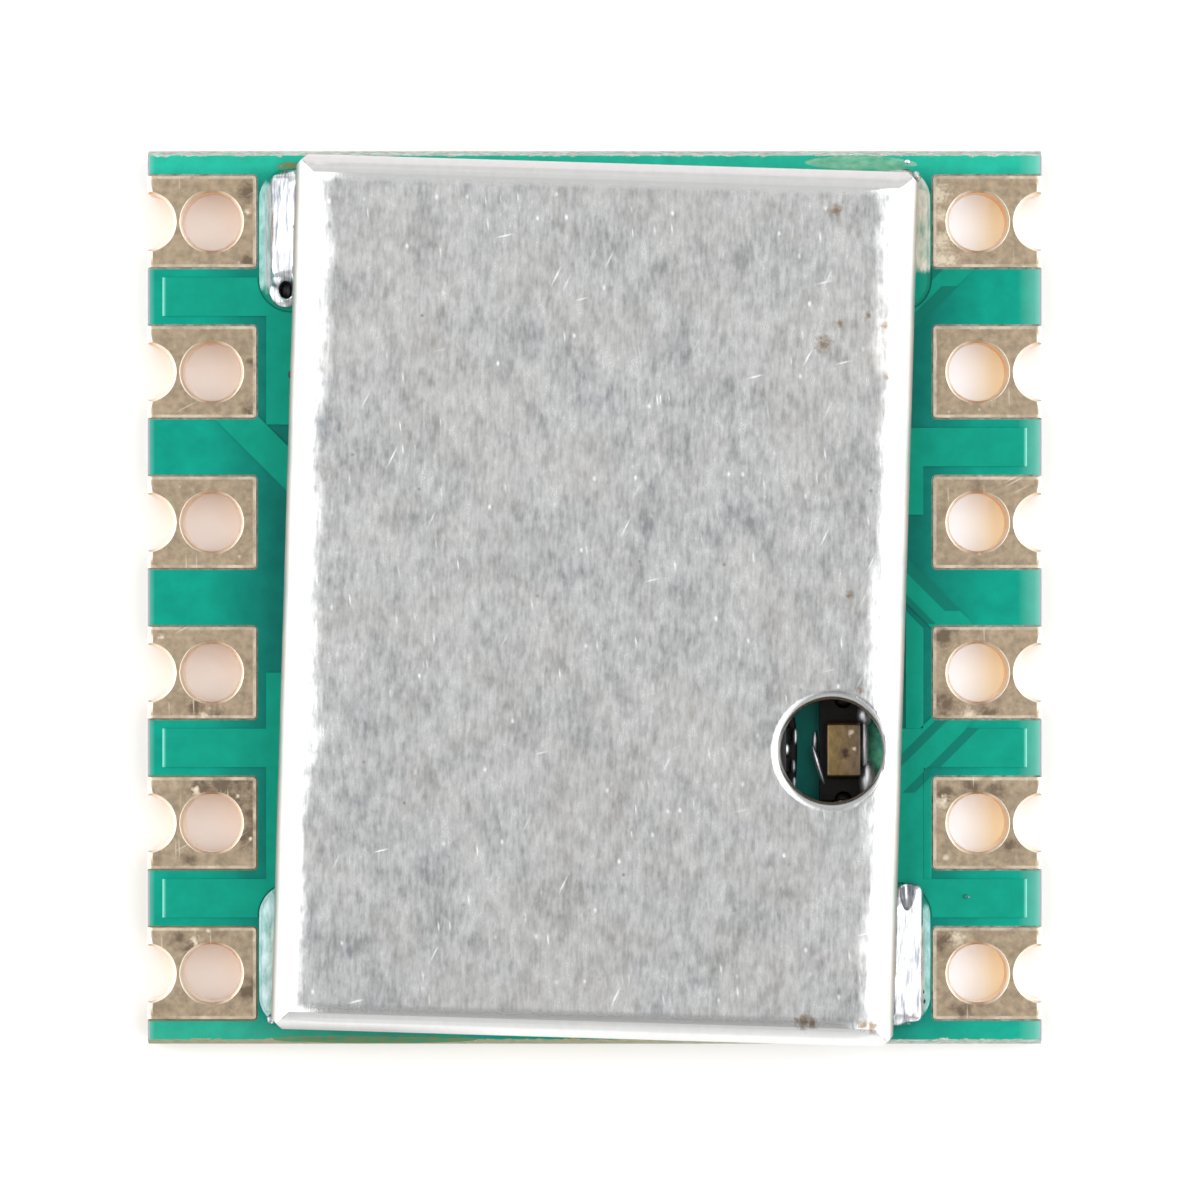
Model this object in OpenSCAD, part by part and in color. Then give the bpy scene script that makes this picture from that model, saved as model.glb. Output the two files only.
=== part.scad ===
// Motion sensing module: a square circuit board with two rows of plated edge pads, and a folded
// tinplate can over the parts. Millimetres, +Z up. The origin is at the centre of the underside.
// X runs across the two pad rows, Y along them.

/* [Board] */
// Width of the board, across the two pad rows
board_w = 15.1; // [14.8:0.1:18]
// Thickness of the board
board_t = 0.8; // [0.6:0.05:1.6]
// Distance from the centre of a row's last pad to the board's end
row_end = 1.2; // [1.1:0.05:1.6]
// Depth of the V-score that each face has along the two snapped ends
score_depth = 0.22; // [0.1:0.01:0.28]
// Distance that the V-score slopes back from the end
score_run = 0.09; // [0.04:0.01:0.14]
// Thickness of the copper foil and its plating
foil_t = 0.05; // [0.03:0.005:0.08]
// Clearance between a land and the mask around it
mask_gap = 0.03; // [0.02:0.005:0.05]

/* [Pads] */
// Distance between neighbouring pads in a row
pad_pitch = 2.54; // [2.4:0.01:3]
// Width of a land, from the board's edge inwards
pad_w = 1.83; // [1.7:0.01:2]
// Length of a land, along the row
pad_l = 1.55; // [1.3:0.01:1.7]
// Corner radius of a land
pad_corner = 0.06; // [0.03:0.01:0.12]
// Finished diameter of a through hole
hole_d = 0.98; // [0.8:0.01:1.04]
// Distance from the board's edge to the centre of a through hole
hole_inset = 1.08; // [1.04:0.01:1.15]
// Finished diameter of a half hole in the board's edge
edge_hole_d = 0.94; // [0.7:0.01:1]
// Distance that the centre of a half hole lies outside the board's edge
edge_hole_out = 0.04; // [0.02:0.01:0.1]
// Thickness of the plating on a drilled wall
plating = 0.03; // [0.02:0.005:0.04]
// Width of the bevel where the plating turns into a hole
rim = 0.05; // [0.02:0.005:0.06]
// Width of the rolled-down outer edge of a land
edge_roll = 0.09; // [0.04:0.01:0.15]

/* [Can] */
// Gap between the can and the pads' inner edges
pad_to_can = 0.495; // [0.45:0.005:0.7]
// Gap between the can and the board's ends, when it sits straight
end_to_can = 0.2; // [0.2:0.01:0.5]
// Height of the can over the board
can_h = 1.2; // [1.15:0.05:2.5]
// Thickness of the can's sheet
sheet_t = 0.2; // [0.15:0.01:0.2]
// Outer radius of the folded edges
bend_r = 0.5; // [0.4:0.01:0.6]
// Width of the open seam at each corner
seam_w = 0.02; // [0.015:0.005:0.1]
// Length of the seam, in from the cut corner along the mitre
seam_l = 0.3; // [0.2:0.01:0.5]
// Cut across each upright corner, along both walls
corner_cut = 0.2; // [0.1:0.01:0.25]
// Angle that the can was turned when it was soldered, clockwise from above
can_turn = 1.7; // [0:0.1:2]
// Distance that the can sits below the middle of the board
can_shift = 0.05; // [0:0.01:0.1]

/* [Window] */
// Diameter of the lamp window
window_d = 1.72; // [1.4:0.01:2]
// Distance from the can's right side to the middle of the window
window_inset = 1.18; // [1.1:0.01:1.4]
// Distance from the can's lower end to the middle of the window
window_end = 4.95; // [4.8:0.05:5.2]
// Radius that the punch rolled on the window's rim
window_roll = 0.18; // [0.05:0.01:0.18]

/* [Legs and slots] */
// Width of a leg, along the wall
leg_w = 0.85; // [0.5:0.05:1]
// Distance from the can's end to the middle of a leg
leg_inset = 1.3; // [1.25:0.05:1.6]
// Distance from a leg's tip up to the board's underside
leg_recess = 0.2; // [0.05:0.05:0.4]
// Clearance between a leg and its slot
slot_play = 0.04; // [0.03:0.005:0.06]
// Width of the land around a slot
slot_ring = 0.17; // [0.1:0.01:0.19]
// Height of the solder fillet on the can's wall
fillet_h = 0.45; // [0.2:0.05:0.6]
// Distance from the solder in a slot to the board's underside
fill_recess = 0.1; // [0.05:0.05:0.2]
// Radius of the round solder bead against the outside of the wall at the first and the last slot
bead_r = 0.42; // [0.2:0.01:0.42]
// Diameter of the pit that the solder left open in the first slot
pit_d = 0.2; // [0.1:0.02:0.3]

/* [Copper under the mask] */
// Height of the mask over copper above the mask over laminate
relief_t = 0.02; // [0.01:0.005:0.04]
// Clearance between a copper area and a pad
pour_moat = 0.17; // [0.1:0.01:0.25]
// Clearance between a copper area and the board's edge
pour_edge = 0.25; // [0.1:0.01:0.4]
// Width of the tracks that leave a pad at 45 degrees
track_w = 0.55; // [0.3:0.05:0.7]
// Distance from the board's edge to where a track leaves its pad
track_inset = 1.5; // [1.3:0.05:1.6]

/* [Lamp] */
// Length of the lamp, along the pad rows
led_l = 1.7; // [1.4:0.05:1.8]
// Width of the lamp
led_w = 0.8; // [0.6:0.05:0.9]
// Thickness of the lamp's base
led_base_t = 0.25; // [0.2:0.01:0.3]
// Height of the clear lens on the base
led_lens_h = 0.3; // [0.2:0.01:0.35]
// Length of the lens
led_lens_l = 1; // [0.9:0.05:1.1]
// Width of the lens
led_lens_w = 0.56; // [0.4:0.02:0.6]
// Distance from the middle of the window right to the middle of the lamp
led_shift = 0.22; // [0:0.01:0.25]

/* [Parts under the can] */
// Side of the sensor's square package
sensor_w = 4; // [3:0.1:4.2]
// Height of the sensor's package
sensor_h = 0.9; // [0.5:0.05:0.9]
// Leads on each side of the sensor
sensor_leads_a_side = 6; // [4:1:6]
// Side of the controller's square package
controller_w = 5; // [4:0.1:5.2]
// Height of the controller's package
controller_h = 0.75; // [0.5:0.05:0.9]
// Leads on each side of the controller
controller_leads_a_side = 8; // [6:1:8]
// Pitch of the leads of both packages
lead_pitch = 0.5; // [0.4:0.05:0.5]
// Height that a package stands off the board
stand_off = 0.03; // [0.02:0.005:0.05]
// Gap between the lamp and the sensor
lamp_to_sensor = 0.58; // [0.35:0.01:0.7]
// Gap between the sensor and the controller
sensor_to_controller = 1; // [0.8:0.05:1.2]
// Gap between the leads of a package and the chips beside it
chip_gap = 0.25; // [0.15:0.01:0.3]

/* [Hidden] */
$fn = 64;
eps = 0.01;
pads_a_side = 6;
pad_count = 2 * pads_a_side;
slot_count = 4;
slot_step = 0.02;
board_l = (pads_a_side - 1) * pad_pitch + 2 * row_end;

// The can fills the space between the two pad rows
can_w = board_w - 2 * (pad_w + pad_to_can);
can_l = board_l - 2 * end_to_can;

// A slot takes its leg at the angle and the place that the can sits, clear of the round ends.
// Its sizes are rounded up to whole steps, as a slot drill's are
slot_x = can_w / 2 - sheet_t / 2;
slot_y = can_l / 2 - leg_inset;
slot_w = drill_step(sheet_t + 2 * (slot_play + sin(can_turn) * (slot_y + leg_w / 2)));
slot_l = drill_step(leg_w + slot_w + 2 * (slot_play + can_shift + sin(can_turn) * slot_x));
// A fillet stops short of the can's end wall, and as far from its leg on the other side
fillet_l = 2 * (leg_inset - sheet_t - slot_play);
// Beads of solder: number of the slot, length, and distance from the middle of the slot up to the
// middle of the bead, both as shares of a fillet's length
bead_at = [[1, 0.9, 0.05], [4, 1.13, 0.1]];
bead_end_r = 0.8 * bead_r;

// The window in the can's own frame, and where it then lies over the board
window_x = can_w / 2 - window_inset;
window_y = window_end - can_l / 2;
led_x = window_x * cos(can_turn) + window_y * sin(can_turn) + led_shift;
led_y = window_y * cos(can_turn) - window_x * sin(can_turn) - can_shift;

// Lamp details
led_notch_d = 0.3;
led_terminal_l = 0.25;
led_terminal_t = 0.03;
led_die_w = 0.24;
led_die_h = 0.1;

// Flat packages: the sensor lies beside the lamp, and the controller in the middle, above the sensor
sensor_x = led_x - led_w / 2 - lamp_to_sensor - sensor_w / 2;
sensor_y = led_y;
controller_y = sensor_y + (sensor_w + controller_w) / 2 + sensor_to_controller;
lead_w = 0.25;
lead_l = 0.4;
lead_h = 0.2;
lead_toe = 0.2;
dimple_d = 0.4;
dimple_depth = 0.03;
dimple_inset = 0.55;

// Regulator, left of the sensor: its body, and the width, thickness, reach, foot and pitch of its leads
regulator_w = 1.25;
regulator_l = 2;
regulator_h = 0.85;
gull_w = 0.22;
gull_t = 0.12;
gull_reach = 0.42;
gull_foot = 0.25;
gull_pitch = 0.65;
regulator_x = sensor_x - sensor_w / 2 - lead_toe - chip_gap - gull_reach - regulator_w / 2;
regulator_y = sensor_y;

// Chip capacitors and resistors: length, width and height, and the length and step of an end cap
capacitor_size = [1, 0.5, 0.5];
resistor_size = [1, 0.5, 0.35];
cap_end_l = 0.22;
cap_end_step = 0.02;

// Places of the chips, as x, y and turn: upright columns beside the controller, two at the ends of
// the regulator, and one above the lamp
column_x = controller_w / 2 + lead_toe + chip_gap + capacitor_size.y / 2;
column_step = capacitor_size.x + chip_gap;
regulator_end = regulator_l / 2 + chip_gap + capacitor_size.y / 2;
capacitor_at = [
    [-column_x, controller_y + column_step, 90],
    [-column_x, controller_y, 90],
    [-column_x, controller_y - column_step, 90],
    [column_x, controller_y + 3 / 2 * column_step, 90],
    [regulator_x, regulator_y + regulator_end, 0],
    [regulator_x, regulator_y - regulator_end, 0]
];
resistor_at = [
    [column_x, controller_y + column_step / 2, 90],
    [column_x, controller_y - column_step / 2, 90],
    [column_x, controller_y - 3 / 2 * column_step, 90],
    [led_x, led_y + led_l / 2 + 2 * chip_gap + resistor_size.y / 2, 0]
];

// Copper areas between pads: side, and number of the gap counted from the top
pour_at = [[-1, 1], [-1, 4], [-1, 5], [1, 2], [1, 4], [1, 5]];
// Copper strips beside the can: side, and first and last row, where row 1 is the top pad
spine_at = [[-1, 1.5, 2.35], [-1, 4, 5.5], [1, 2.5, 2.95], [1, 4.6, 5.5]];
// Tracks that leave a pad: number of the pad, and its upper or lower side
track_at = [[2, -1], [7, -1], [10, 1], [10, -1]];

function drill_step(x) = ceil(x / slot_step) * slot_step;

// Pads 1 to 6 run down the left side, and 7 to 12 down the right
function pad_name(i) = str("pad_", i < 10 ? "0" : "", i);
function pad_side(i) = i <= pads_a_side ? -1 : 1;
function row_y(r) = ((pads_a_side + 1) / 2 - r) * pad_pitch;
function pad_row(i) = (i - 1) % pads_a_side + 1;

// Slots 1 and 2 are at the top left and bottom left, 3 and 4 at the top right and bottom right
function slot_side(i) = i <= 2 ? -1 : 1;
function slot_end(i) = i % 2 == 1 ? 1 : -1;

// A side of the board, seen with +X outwards from its edge
module at_side(side, y) {
    translate([side * board_w / 2, y, 0])
        mirror([side < 0 ? 1 : 0, 0, 0])
            children();
}

module at_pad(i) {
    at_side(pad_side(i), row_y(pad_row(i))) children();
}

module at_slot(i) {
    translate([slot_side(i) * slot_x, slot_end(i) * slot_y, 0]) children();
}

module at_can() {
    translate([0, -can_shift, 0]) rotate(-can_turn) children();
}

// Lays a thickness on the underside and one on the top of the board, up to an excess past its faces
module on_both_faces(t, past = 0) {
    translate([0, 0, -past]) linear_extrude(t + past) children();
    translate([0, 0, board_t - t]) linear_extrude(t + past) children();
}

// Runs right through the board, and past both faces
module through_board() {
    translate([0, 0, -eps]) linear_extrude(board_t + 2 * eps) children();
}

module rounded_rect(w, l, r) {
    square([w - 2 * r, l], center = true);
    square([w, l - 2 * r], center = true);
    for (x = [-1, 1], y = [-1, 1])
        translate([x * (w / 2 - r), y * (l / 2 - r)]) circle(r);
}

module oblong(w, l) {
    square([w, l - w], center = true);
    for (y = [-1, 1]) translate([0, y * (l - w) / 2]) circle(d = w);
}

// A land grown on three sides, and run past the board's edge on the fourth
module land_opening(grow = 0) {
    rounded_rect(2 * (pad_w + grow), pad_l + 2 * grow, pad_corner + grow);
}

module land() {
    intersection() {
        land_opening();
        translate([-2 * pad_w, -pad_l]) square([2 * pad_w, 2 * pad_l]);
    }
}

module pad_holes(d, edge_d) {
    translate([-hole_inset, 0, -eps]) cylinder(d = d, h = board_t + 2 * eps);
    translate([edge_hole_out, 0, -eps]) cylinder(d = edge_d, h = board_t + 2 * eps);
}

module printed_board() {
    color("seagreen") difference() {
        rotate([90, 0, 90]) linear_extrude(board_w, center = true) scored_section();
        for (i = [1 : pad_count]) at_pad(i) {
            pad_holes(hole_d + 2 * plating, edge_hole_d + 2 * plating);
            on_both_faces(foil_t, eps) land_opening(mask_gap);
        }
        for (i = [1 : slot_count]) at_slot(i) {
            through_board() oblong(slot_w + 2 * plating, slot_l + 2 * plating);
            on_both_faces(foil_t, eps) slot_land(mask_gap);
        }
    }
}

// The board from its side: the two snapped ends slope back from the web that was left between scores
module scored_section() {
    end = board_l / 2;
    polygon([
        [-end + score_run, 0], [end - score_run, 0],
        [end, score_depth], [end, board_t - score_depth],
        [end - score_run, board_t], [-end + score_run, board_t],
        [-end, board_t - score_depth], [-end, score_depth]
    ]);
}

module slot_land(grow = 0) {
    oblong(slot_w + 2 * (slot_ring + grow), slot_l + 2 * (slot_ring + grow));
}

// One pad: two lands joined by the plated walls of the hole and the half hole
module pad(i) {
    color("rosybrown") at_pad(i) difference() {
        union() {
            on_both_faces(foil_t) land();
            intersection() {
                pad_walls();
                translate([-pad_w, -pad_l / 2, 0]) cube([pad_w, pad_l, board_t]);
            }
        }
        pad_holes(hole_d, edge_hole_d);
        translate([-hole_inset, 0, 0]) hole_rims(hole_d);
        translate([edge_hole_out, 0, 0]) hole_rims(edge_hole_d);
        rotate([90, 0, 0]) linear_extrude(2 * pad_l, center = true) rolled_edge();
    }
}

module pad_walls() {
    translate([-hole_inset, 0, 0]) cylinder(d = hole_d + 2 * plating, h = board_t);
    translate([edge_hole_out, 0, 0]) cylinder(d = edge_hole_d + 2 * plating, h = board_t);
}

// Bevels at both ends of a hole
module hole_rims(d) {
    translate([0, 0, board_t - rim]) cylinder(d1 = d, d2 = d + 2 * rim, h = rim);
    cylinder(d1 = d + 2 * rim, d2 = d, h = rim);
}

module rolled_edge() {
    polygon([[-edge_roll, board_t], [0, board_t - foil_t / 2], [0, board_t]]);
}

module plated_slot(i) {
    color("silver") at_slot(i) difference() {
        union() {
            on_both_faces(foil_t) slot_land();
            linear_extrude(board_t) oblong(slot_w + 2 * plating, slot_l + 2 * plating);
        }
        through_board() oblong(slot_w, slot_l);
    }
}

// Copper under the mask stands a little proud. It is drawn where the can leaves the board open
module top_copper() {
    color("mediumseagreen") translate([0, 0, board_t]) linear_extrude(relief_t) difference() {
        union() {
            for (p = pour_at) at_side(p[0], row_y(p[1] + 0.5)) pour();
            for (s = spine_at) spine(s[0], row_y(s[1]), row_y(s[2]));
            for (t = track_at) at_pad(t[0]) track(t[1]);
        }
        at_can() square([can_w + 2 * mask_gap, can_l + 2 * mask_gap], center = true);
        for (i = [1 : pad_count]) at_pad(i) land_opening(mask_gap);
        for (i = [1 : slot_count]) at_slot(i) slot_land(2 * mask_gap);
    }
}

module pour() {
    l = pad_pitch - pad_l - 2 * pour_moat;
    translate([-pad_w - pad_to_can - sheet_t, -l / 2])
        square([pad_w + pad_to_can + sheet_t - pour_edge, l]);
}

module spine(side, top, bottom) {
    at_side(side, bottom)
        translate([-pad_w - pad_to_can - sheet_t, 0])
            square([pad_to_can + sheet_t - pour_moat, top - bottom]);
}

// A track runs inwards from its pad until it is under the can
module track(edge) {
    translate([-track_inset, edge * pad_l / 2])
        rotate(180 - edge * 45)
            translate([-track_w / 2, -track_w / 2]) square([pad_w + track_w / 2, track_w]);
}

// A box with its four top edges folded over at radius r and mitred at the corners
module folded_box(w, l, h, r) {
    intersection() {
        rotate([90, 0, 0]) linear_extrude(l, center = true) folded_section(w, h, r);
        rotate([90, 0, 90]) linear_extrude(w, center = true) folded_section(l, h, r);
    }
}

module folded_section(w, h, r) {
    translate([-w / 2, 0]) square([w, h - r]);
    translate([-w / 2 + r, 0]) square([w - 2 * r, h]);
    for (x = [-1, 1]) translate([x * (w / 2 - r), h - r]) circle(r);
}

// The folded sheet and its legs, before the window and the corner seams are cut
module sheet() {
    difference() {
        folded_box(can_w, can_l, can_h, bend_r);
        translate([0, 0, -eps])
            folded_box(can_w - 2 * sheet_t, can_l - 2 * sheet_t, can_h - sheet_t + eps, bend_r - sheet_t);
    }
    for (x = [-1, 1], y = [-1, 1])
        translate([x * slot_x - sheet_t / 2, y * slot_y - leg_w / 2, leg_recess - board_t])
            cube([sheet_t, leg_w, board_t - leg_recess + eps]);
}

module window_cut() {
    top = can_h - window_roll;
    translate([window_x, window_y, 0]) {
        translate([0, 0, can_h / 2]) cylinder(d = window_d, h = can_h);
        rotate_extrude() difference() {
            translate([window_d / 2 - eps, top]) square([window_roll + eps, window_roll + eps]);
            translate([window_d / 2 + window_roll, top]) circle(window_roll);
        }
    }
}

// One corner: a cut across the upright edge, and a seam that runs in along the mitre
module corner_seam() {
    rotate(45) {
        translate([-corner_cut / sqrt(2), -bend_r, -eps]) cube([bend_r, 2 * bend_r, can_h + 2 * eps]);
        translate([-corner_cut / sqrt(2) - seam_l, -seam_w / 2, -eps])
            cube([seam_l + corner_cut, seam_w, can_h + 2 * eps]);
    }
}

module shield_can() {
    color("lightgray") at_can() translate([0, 0, board_t]) difference() {
        sheet();
        window_cut();
        for (x = [0, 1], y = [0, 1]) mirror([x, 0, 0]) mirror([0, y, 0])
            translate([can_w / 2, can_l / 2, 0]) corner_seam();
    }
}

// Solder fills the slot around the leg and rises in a hollow fillet on both sides of the wall. Where
// there was more of it, it stands in a round bead outside
module solder_joint(i) {
    color("gainsboro") difference() {
        union() {
            at_slot(i) translate([0, 0, fill_recess])
                linear_extrude(board_t - fill_recess) oblong(slot_w, slot_l);
            intersection() {
                at_slot(i) translate([0, 0, board_t]) linear_extrude(fillet_h) slot_land();
                at_can() translate([slot_side(i) * slot_x, slot_end(i) * slot_y, board_t])
                    rotate([90, 0, 0]) linear_extrude(fillet_l, center = true) fillet_section();
            }
            for (bead = bead_at) if (bead[0] == i) solder_bead(i, bead[1] * fillet_l, bead[2] * fillet_l);
        }
        at_can() translate([0, 0, board_t]) sheet();
        if (i == 1) solder_pit();
    }
}

module fillet_section() {
    difference() {
        translate([-fillet_h - sheet_t / 2, -eps]) square([2 * fillet_h + sheet_t, fillet_h + eps]);
        for (x = [-1, 1]) translate([x * (fillet_h + sheet_t / 2), fillet_h]) circle(fillet_h - eps);
    }
}

// A quarter-round bead, with its two flat sides on the board and on the outside of the wall. Its ends
// are rounded down to a small flat
module solder_bead(i, l, up) {
    run = l / 2 - bead_end_r;
    at_can() translate([slot_side(i) * can_w / 2, slot_end(i) * slot_y + up, board_t])
        mirror([slot_side(i) < 0 ? 1 : 0, 0, 0]) intersection() {
            rotate([90, 0, 0]) rotate_extrude() intersection() {
                union() {
                    translate([0, -run]) square([bead_r, 2 * run]);
                    translate([0, -l / 2]) square([bead_r - bead_end_r, l]);
                    for (y = [-1, 1]) translate([bead_r - bead_end_r, y * run]) circle(bead_end_r);
                }
                translate([0, -l]) square([bead_r, 2 * l]);
            }
            translate([0, -l, 0]) cube([2 * bead_r, 2 * l, 2 * bead_r]);
        }
}

module solder_pit() {
    at_slot(1) translate([-slot_w / 8, 0.6 * pit_d - slot_l / 2, board_t / 3])
        cylinder(d = pit_d, h = board_t);
}

module at_lamp() {
    translate([led_x, led_y, board_t]) children();
}

// The base has a half-round notch in each end, lined by the terminal
module lamp_base_outline(grow = 0) {
    difference() {
        square([led_w, led_l + 2 * grow], center = true);
        for (y = [-1, 1]) translate([0, y * (led_l / 2 + grow)]) circle(d = led_notch_d);
    }
}

module led_base() {
    color("ivory") at_lamp() translate([0, 0, led_terminal_t])
        linear_extrude(led_base_t - 2 * led_terminal_t) lamp_base_outline(-led_terminal_t);
}

module led_terminals() {
    color("goldenrod") at_lamp() difference() {
        intersection() {
            linear_extrude(led_base_t) lamp_base_outline();
            for (y = [-1, 1])
                translate([-led_w / 2, y * (led_l - led_terminal_l) / 2 - led_terminal_l / 2, 0])
                    cube([led_w, led_terminal_l, led_base_t]);
        }
        translate([0, 0, led_terminal_t])
            linear_extrude(led_base_t - 2 * led_terminal_t) lamp_base_outline(-led_terminal_t);
    }
}

module led_die() {
    color("firebrick") at_lamp() translate([0, 0, led_base_t - led_terminal_t]) die_block();
}

module die_block() {
    translate([-led_die_w / 2, -led_die_w / 2, 0]) cube([led_die_w, led_die_w, led_die_h]);
}

module led_lens() {
    color("peru", 0.6) at_lamp() translate([0, 0, led_base_t - led_terminal_t]) difference() {
        rotate([90, 0, 90]) linear_extrude(led_lens_w, center = true) lens_section();
        die_block();
    }
}

// The lens slopes in at both ends, and sits on the base between the terminals
module lens_section() {
    foot = led_lens_l / 2;
    slope = led_lens_h / 4;
    polygon([[-foot, 0], [foot, 0], [foot - slope, led_lens_h], [-foot + slope, led_lens_h]]);
}

// Places a lead's frame at each lead of a square package: +X outwards from the package's side
module at_leads(w, count) {
    for (side = [0 : 3], i = [0 : count - 1])
        rotate(90 * side) translate([w / 2, (i - (count - 1) / 2) * lead_pitch, 0]) children();
}

module lead_block() {
    translate([-lead_l, -lead_w / 2, 0]) cube([lead_l, lead_w, lead_h]);
}

// A lead flush with the package's side, and the solder toe in front of it
module toed_lead() {
    lead_block();
    rotate([90, 0, 0]) linear_extrude(lead_w, center = true)
        polygon([[-eps, 0], [lead_toe, 0], [0, lead_h], [-eps, lead_h]]);
}

module flat_package(w, h, count) {
    difference() {
        translate([-w / 2, -w / 2, stand_off]) cube([w, w, h]);
        at_leads(w, count) lead_block();
        translate([-w / 2 + dimple_inset, w / 2 - dimple_inset, h + stand_off - dimple_depth])
            cylinder(d = dimple_d, h = 2 * dimple_depth);
    }
}

module sensor_chip() {
    color("dimgray") translate([sensor_x, sensor_y, board_t])
        flat_package(sensor_w, sensor_h, sensor_leads_a_side);
}

module sensor_leads() {
    color("silver") translate([sensor_x, sensor_y, board_t])
        at_leads(sensor_w, sensor_leads_a_side) toed_lead();
}

module controller_chip() {
    color("dimgray") translate([0, controller_y, board_t])
        flat_package(controller_w, controller_h, controller_leads_a_side);
}

module controller_leads() {
    color("silver") translate([0, controller_y, board_t])
        at_leads(controller_w, controller_leads_a_side) toed_lead();
}

module at_regulator() {
    translate([regulator_x, regulator_y, board_t]) children();
}

module regulator() {
    color("dimgray") at_regulator()
        translate([-regulator_w / 2, -regulator_l / 2, stand_off])
            cube([regulator_w, regulator_l, regulator_h]);
}

// Three leads on one side, and two on the other
module regulator_leads() {
    color("silver") at_regulator() {
        for (y = [-1 : 1]) translate([regulator_w / 2, y * gull_pitch, 0]) gull_lead();
        for (y = [-1, 1]) translate([-regulator_w / 2, y * gull_pitch, 0]) mirror([1, 0, 0]) gull_lead();
    }
}

// A lead that leaves the body at half its height and bends down to a foot on the board
module gull_lead() {
    mid = stand_off + regulator_h / 2;
    bend = gull_reach - gull_foot;
    rotate([90, 0, 0]) linear_extrude(gull_w, center = true) polygon([
        [0, mid], [bend - gull_t, mid], [bend - gull_t, 0], [gull_reach, 0],
        [gull_reach, gull_t], [bend, gull_t], [bend, mid + gull_t], [0, mid + gull_t]
    ]);
}

// A chip with a metal cap on each end, a little thicker than its body
module end_capped_chip(size) {
    body = [size.x - 2 * cap_end_l + 2 * eps, size.y - 2 * cap_end_step, size.z - cap_end_step];
    translate([-body.x / 2, -body.y / 2, 0]) cube(body);
    for (x = [-1, 1])
        translate([x * (size.x - cap_end_l) / 2 - cap_end_l / 2, -size.y / 2, 0])
            cube([cap_end_l, size.y, size.z]);
}

module at_chip(place) {
    translate([place.x, place.y, board_t]) rotate(place.z) children();
}

module capacitor(i) {
    color("tan") at_chip(capacitor_at[i - 1]) end_capped_chip(capacitor_size);
}

module resistor(i) {
    color("darkslategray") at_chip(resistor_at[i - 1]) end_capped_chip(resistor_size);
}

printed_board();
top_copper();
for (i = [1 : pad_count]) pad(i);
for (i = [1 : slot_count]) plated_slot(i);
shield_can();
for (i = [1 : slot_count]) solder_joint(i);
led_base();
led_terminals();
led_die();
led_lens();
sensor_chip();
sensor_leads();
controller_chip();
controller_leads();
regulator();
regulator_leads();
for (i = [1 : len(capacitor_at)]) capacitor(i);
for (i = [1 : len(resistor_at)]) resistor(i);
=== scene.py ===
"""Looks of a motion sensing module: a folded tinplate can soldered on a small green circuit board.

Metres, in the frame of the solids: +Z up, X across the two pad rows and Y along them. Pieces are
modelled in millimetres, and brought to metres when they are dressed.
"""
import logging
import math
import random
from collections.abc import Callable
from dataclasses import dataclass, field
from enum import Enum
from typing import Union

import bpy
from mathutils import Matrix, Vector


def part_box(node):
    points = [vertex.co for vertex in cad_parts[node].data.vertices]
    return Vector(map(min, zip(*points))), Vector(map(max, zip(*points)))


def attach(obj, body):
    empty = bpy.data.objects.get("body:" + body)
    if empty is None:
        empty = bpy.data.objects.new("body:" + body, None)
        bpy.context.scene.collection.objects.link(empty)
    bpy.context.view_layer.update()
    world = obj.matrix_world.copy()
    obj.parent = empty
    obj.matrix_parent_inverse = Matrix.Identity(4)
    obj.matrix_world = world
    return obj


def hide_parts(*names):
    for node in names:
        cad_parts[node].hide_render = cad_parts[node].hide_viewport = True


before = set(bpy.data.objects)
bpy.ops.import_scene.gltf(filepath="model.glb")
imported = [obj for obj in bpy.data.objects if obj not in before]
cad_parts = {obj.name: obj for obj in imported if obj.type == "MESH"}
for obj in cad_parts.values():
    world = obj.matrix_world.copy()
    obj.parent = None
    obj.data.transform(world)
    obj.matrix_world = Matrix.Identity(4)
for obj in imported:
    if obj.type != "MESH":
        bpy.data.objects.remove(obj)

MM = 0.001  # a millimetre, in metres
CAN_TURN = math.radians(-1.7)  # turn of the can on the board, about Z
BODY = "root"
MASK_SHINE = 0.1  # specular level of the solder mask
SLOPE_TILT = (0.1, 0.24)  # lean of the normal to a side, on a level face and on a slope
STAIN_EDGE = (1.5, 0.7)  # distance in radii plus raggedness, where a stain starts and where it is full
CREASE = math.radians(40)  # bend from which an edge is rounded
FLAT = math.radians(0.3)  # bend up to which triangles make one face
MERGE = 0.0005  # millimetres between points that are merged
NEAR = 0.001  # millimetres between places that count as the same
ALIGNED = 0.99  # part of a run or a normal along an axis that counts as parallel to it
BLOCK_ROUND = 0.6  # rounding of a block, as a share of its least half size

log = logging.getLogger("module")
Socket = bpy.types.NodeSocket
Setting = Union[Socket, float, tuple]
Spot = tuple[float, float, float]
Size = tuple[float, float, float]


class Element(Enum):
    """What is picked in edit mode."""

    VERT = "VERT"
    EDGE = "EDGE"
    FACE = "FACE"


class End(Enum):
    """An end of the board that was snapped off the panel."""

    NORTH = 1
    SOUTH = -1


def linear(hex_colour: str) -> tuple[float, float, float, float]:
    """Turns an sRGB hex value into linear light.

    Args:
        hex_colour: six hex digits after a hash sign.

    Returns:
        Linear red, green and blue, and an alpha of 1.
    """
    parts = [int(hex_colour[i:i + 2], 16) / 255 for i in (1, 3, 5)]
    bent = [c / 12.92 if c <= 0.04045 else ((c + 0.055) / 1.055) ** 2.4 for c in parts]
    return (*bent, 1.0)


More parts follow.
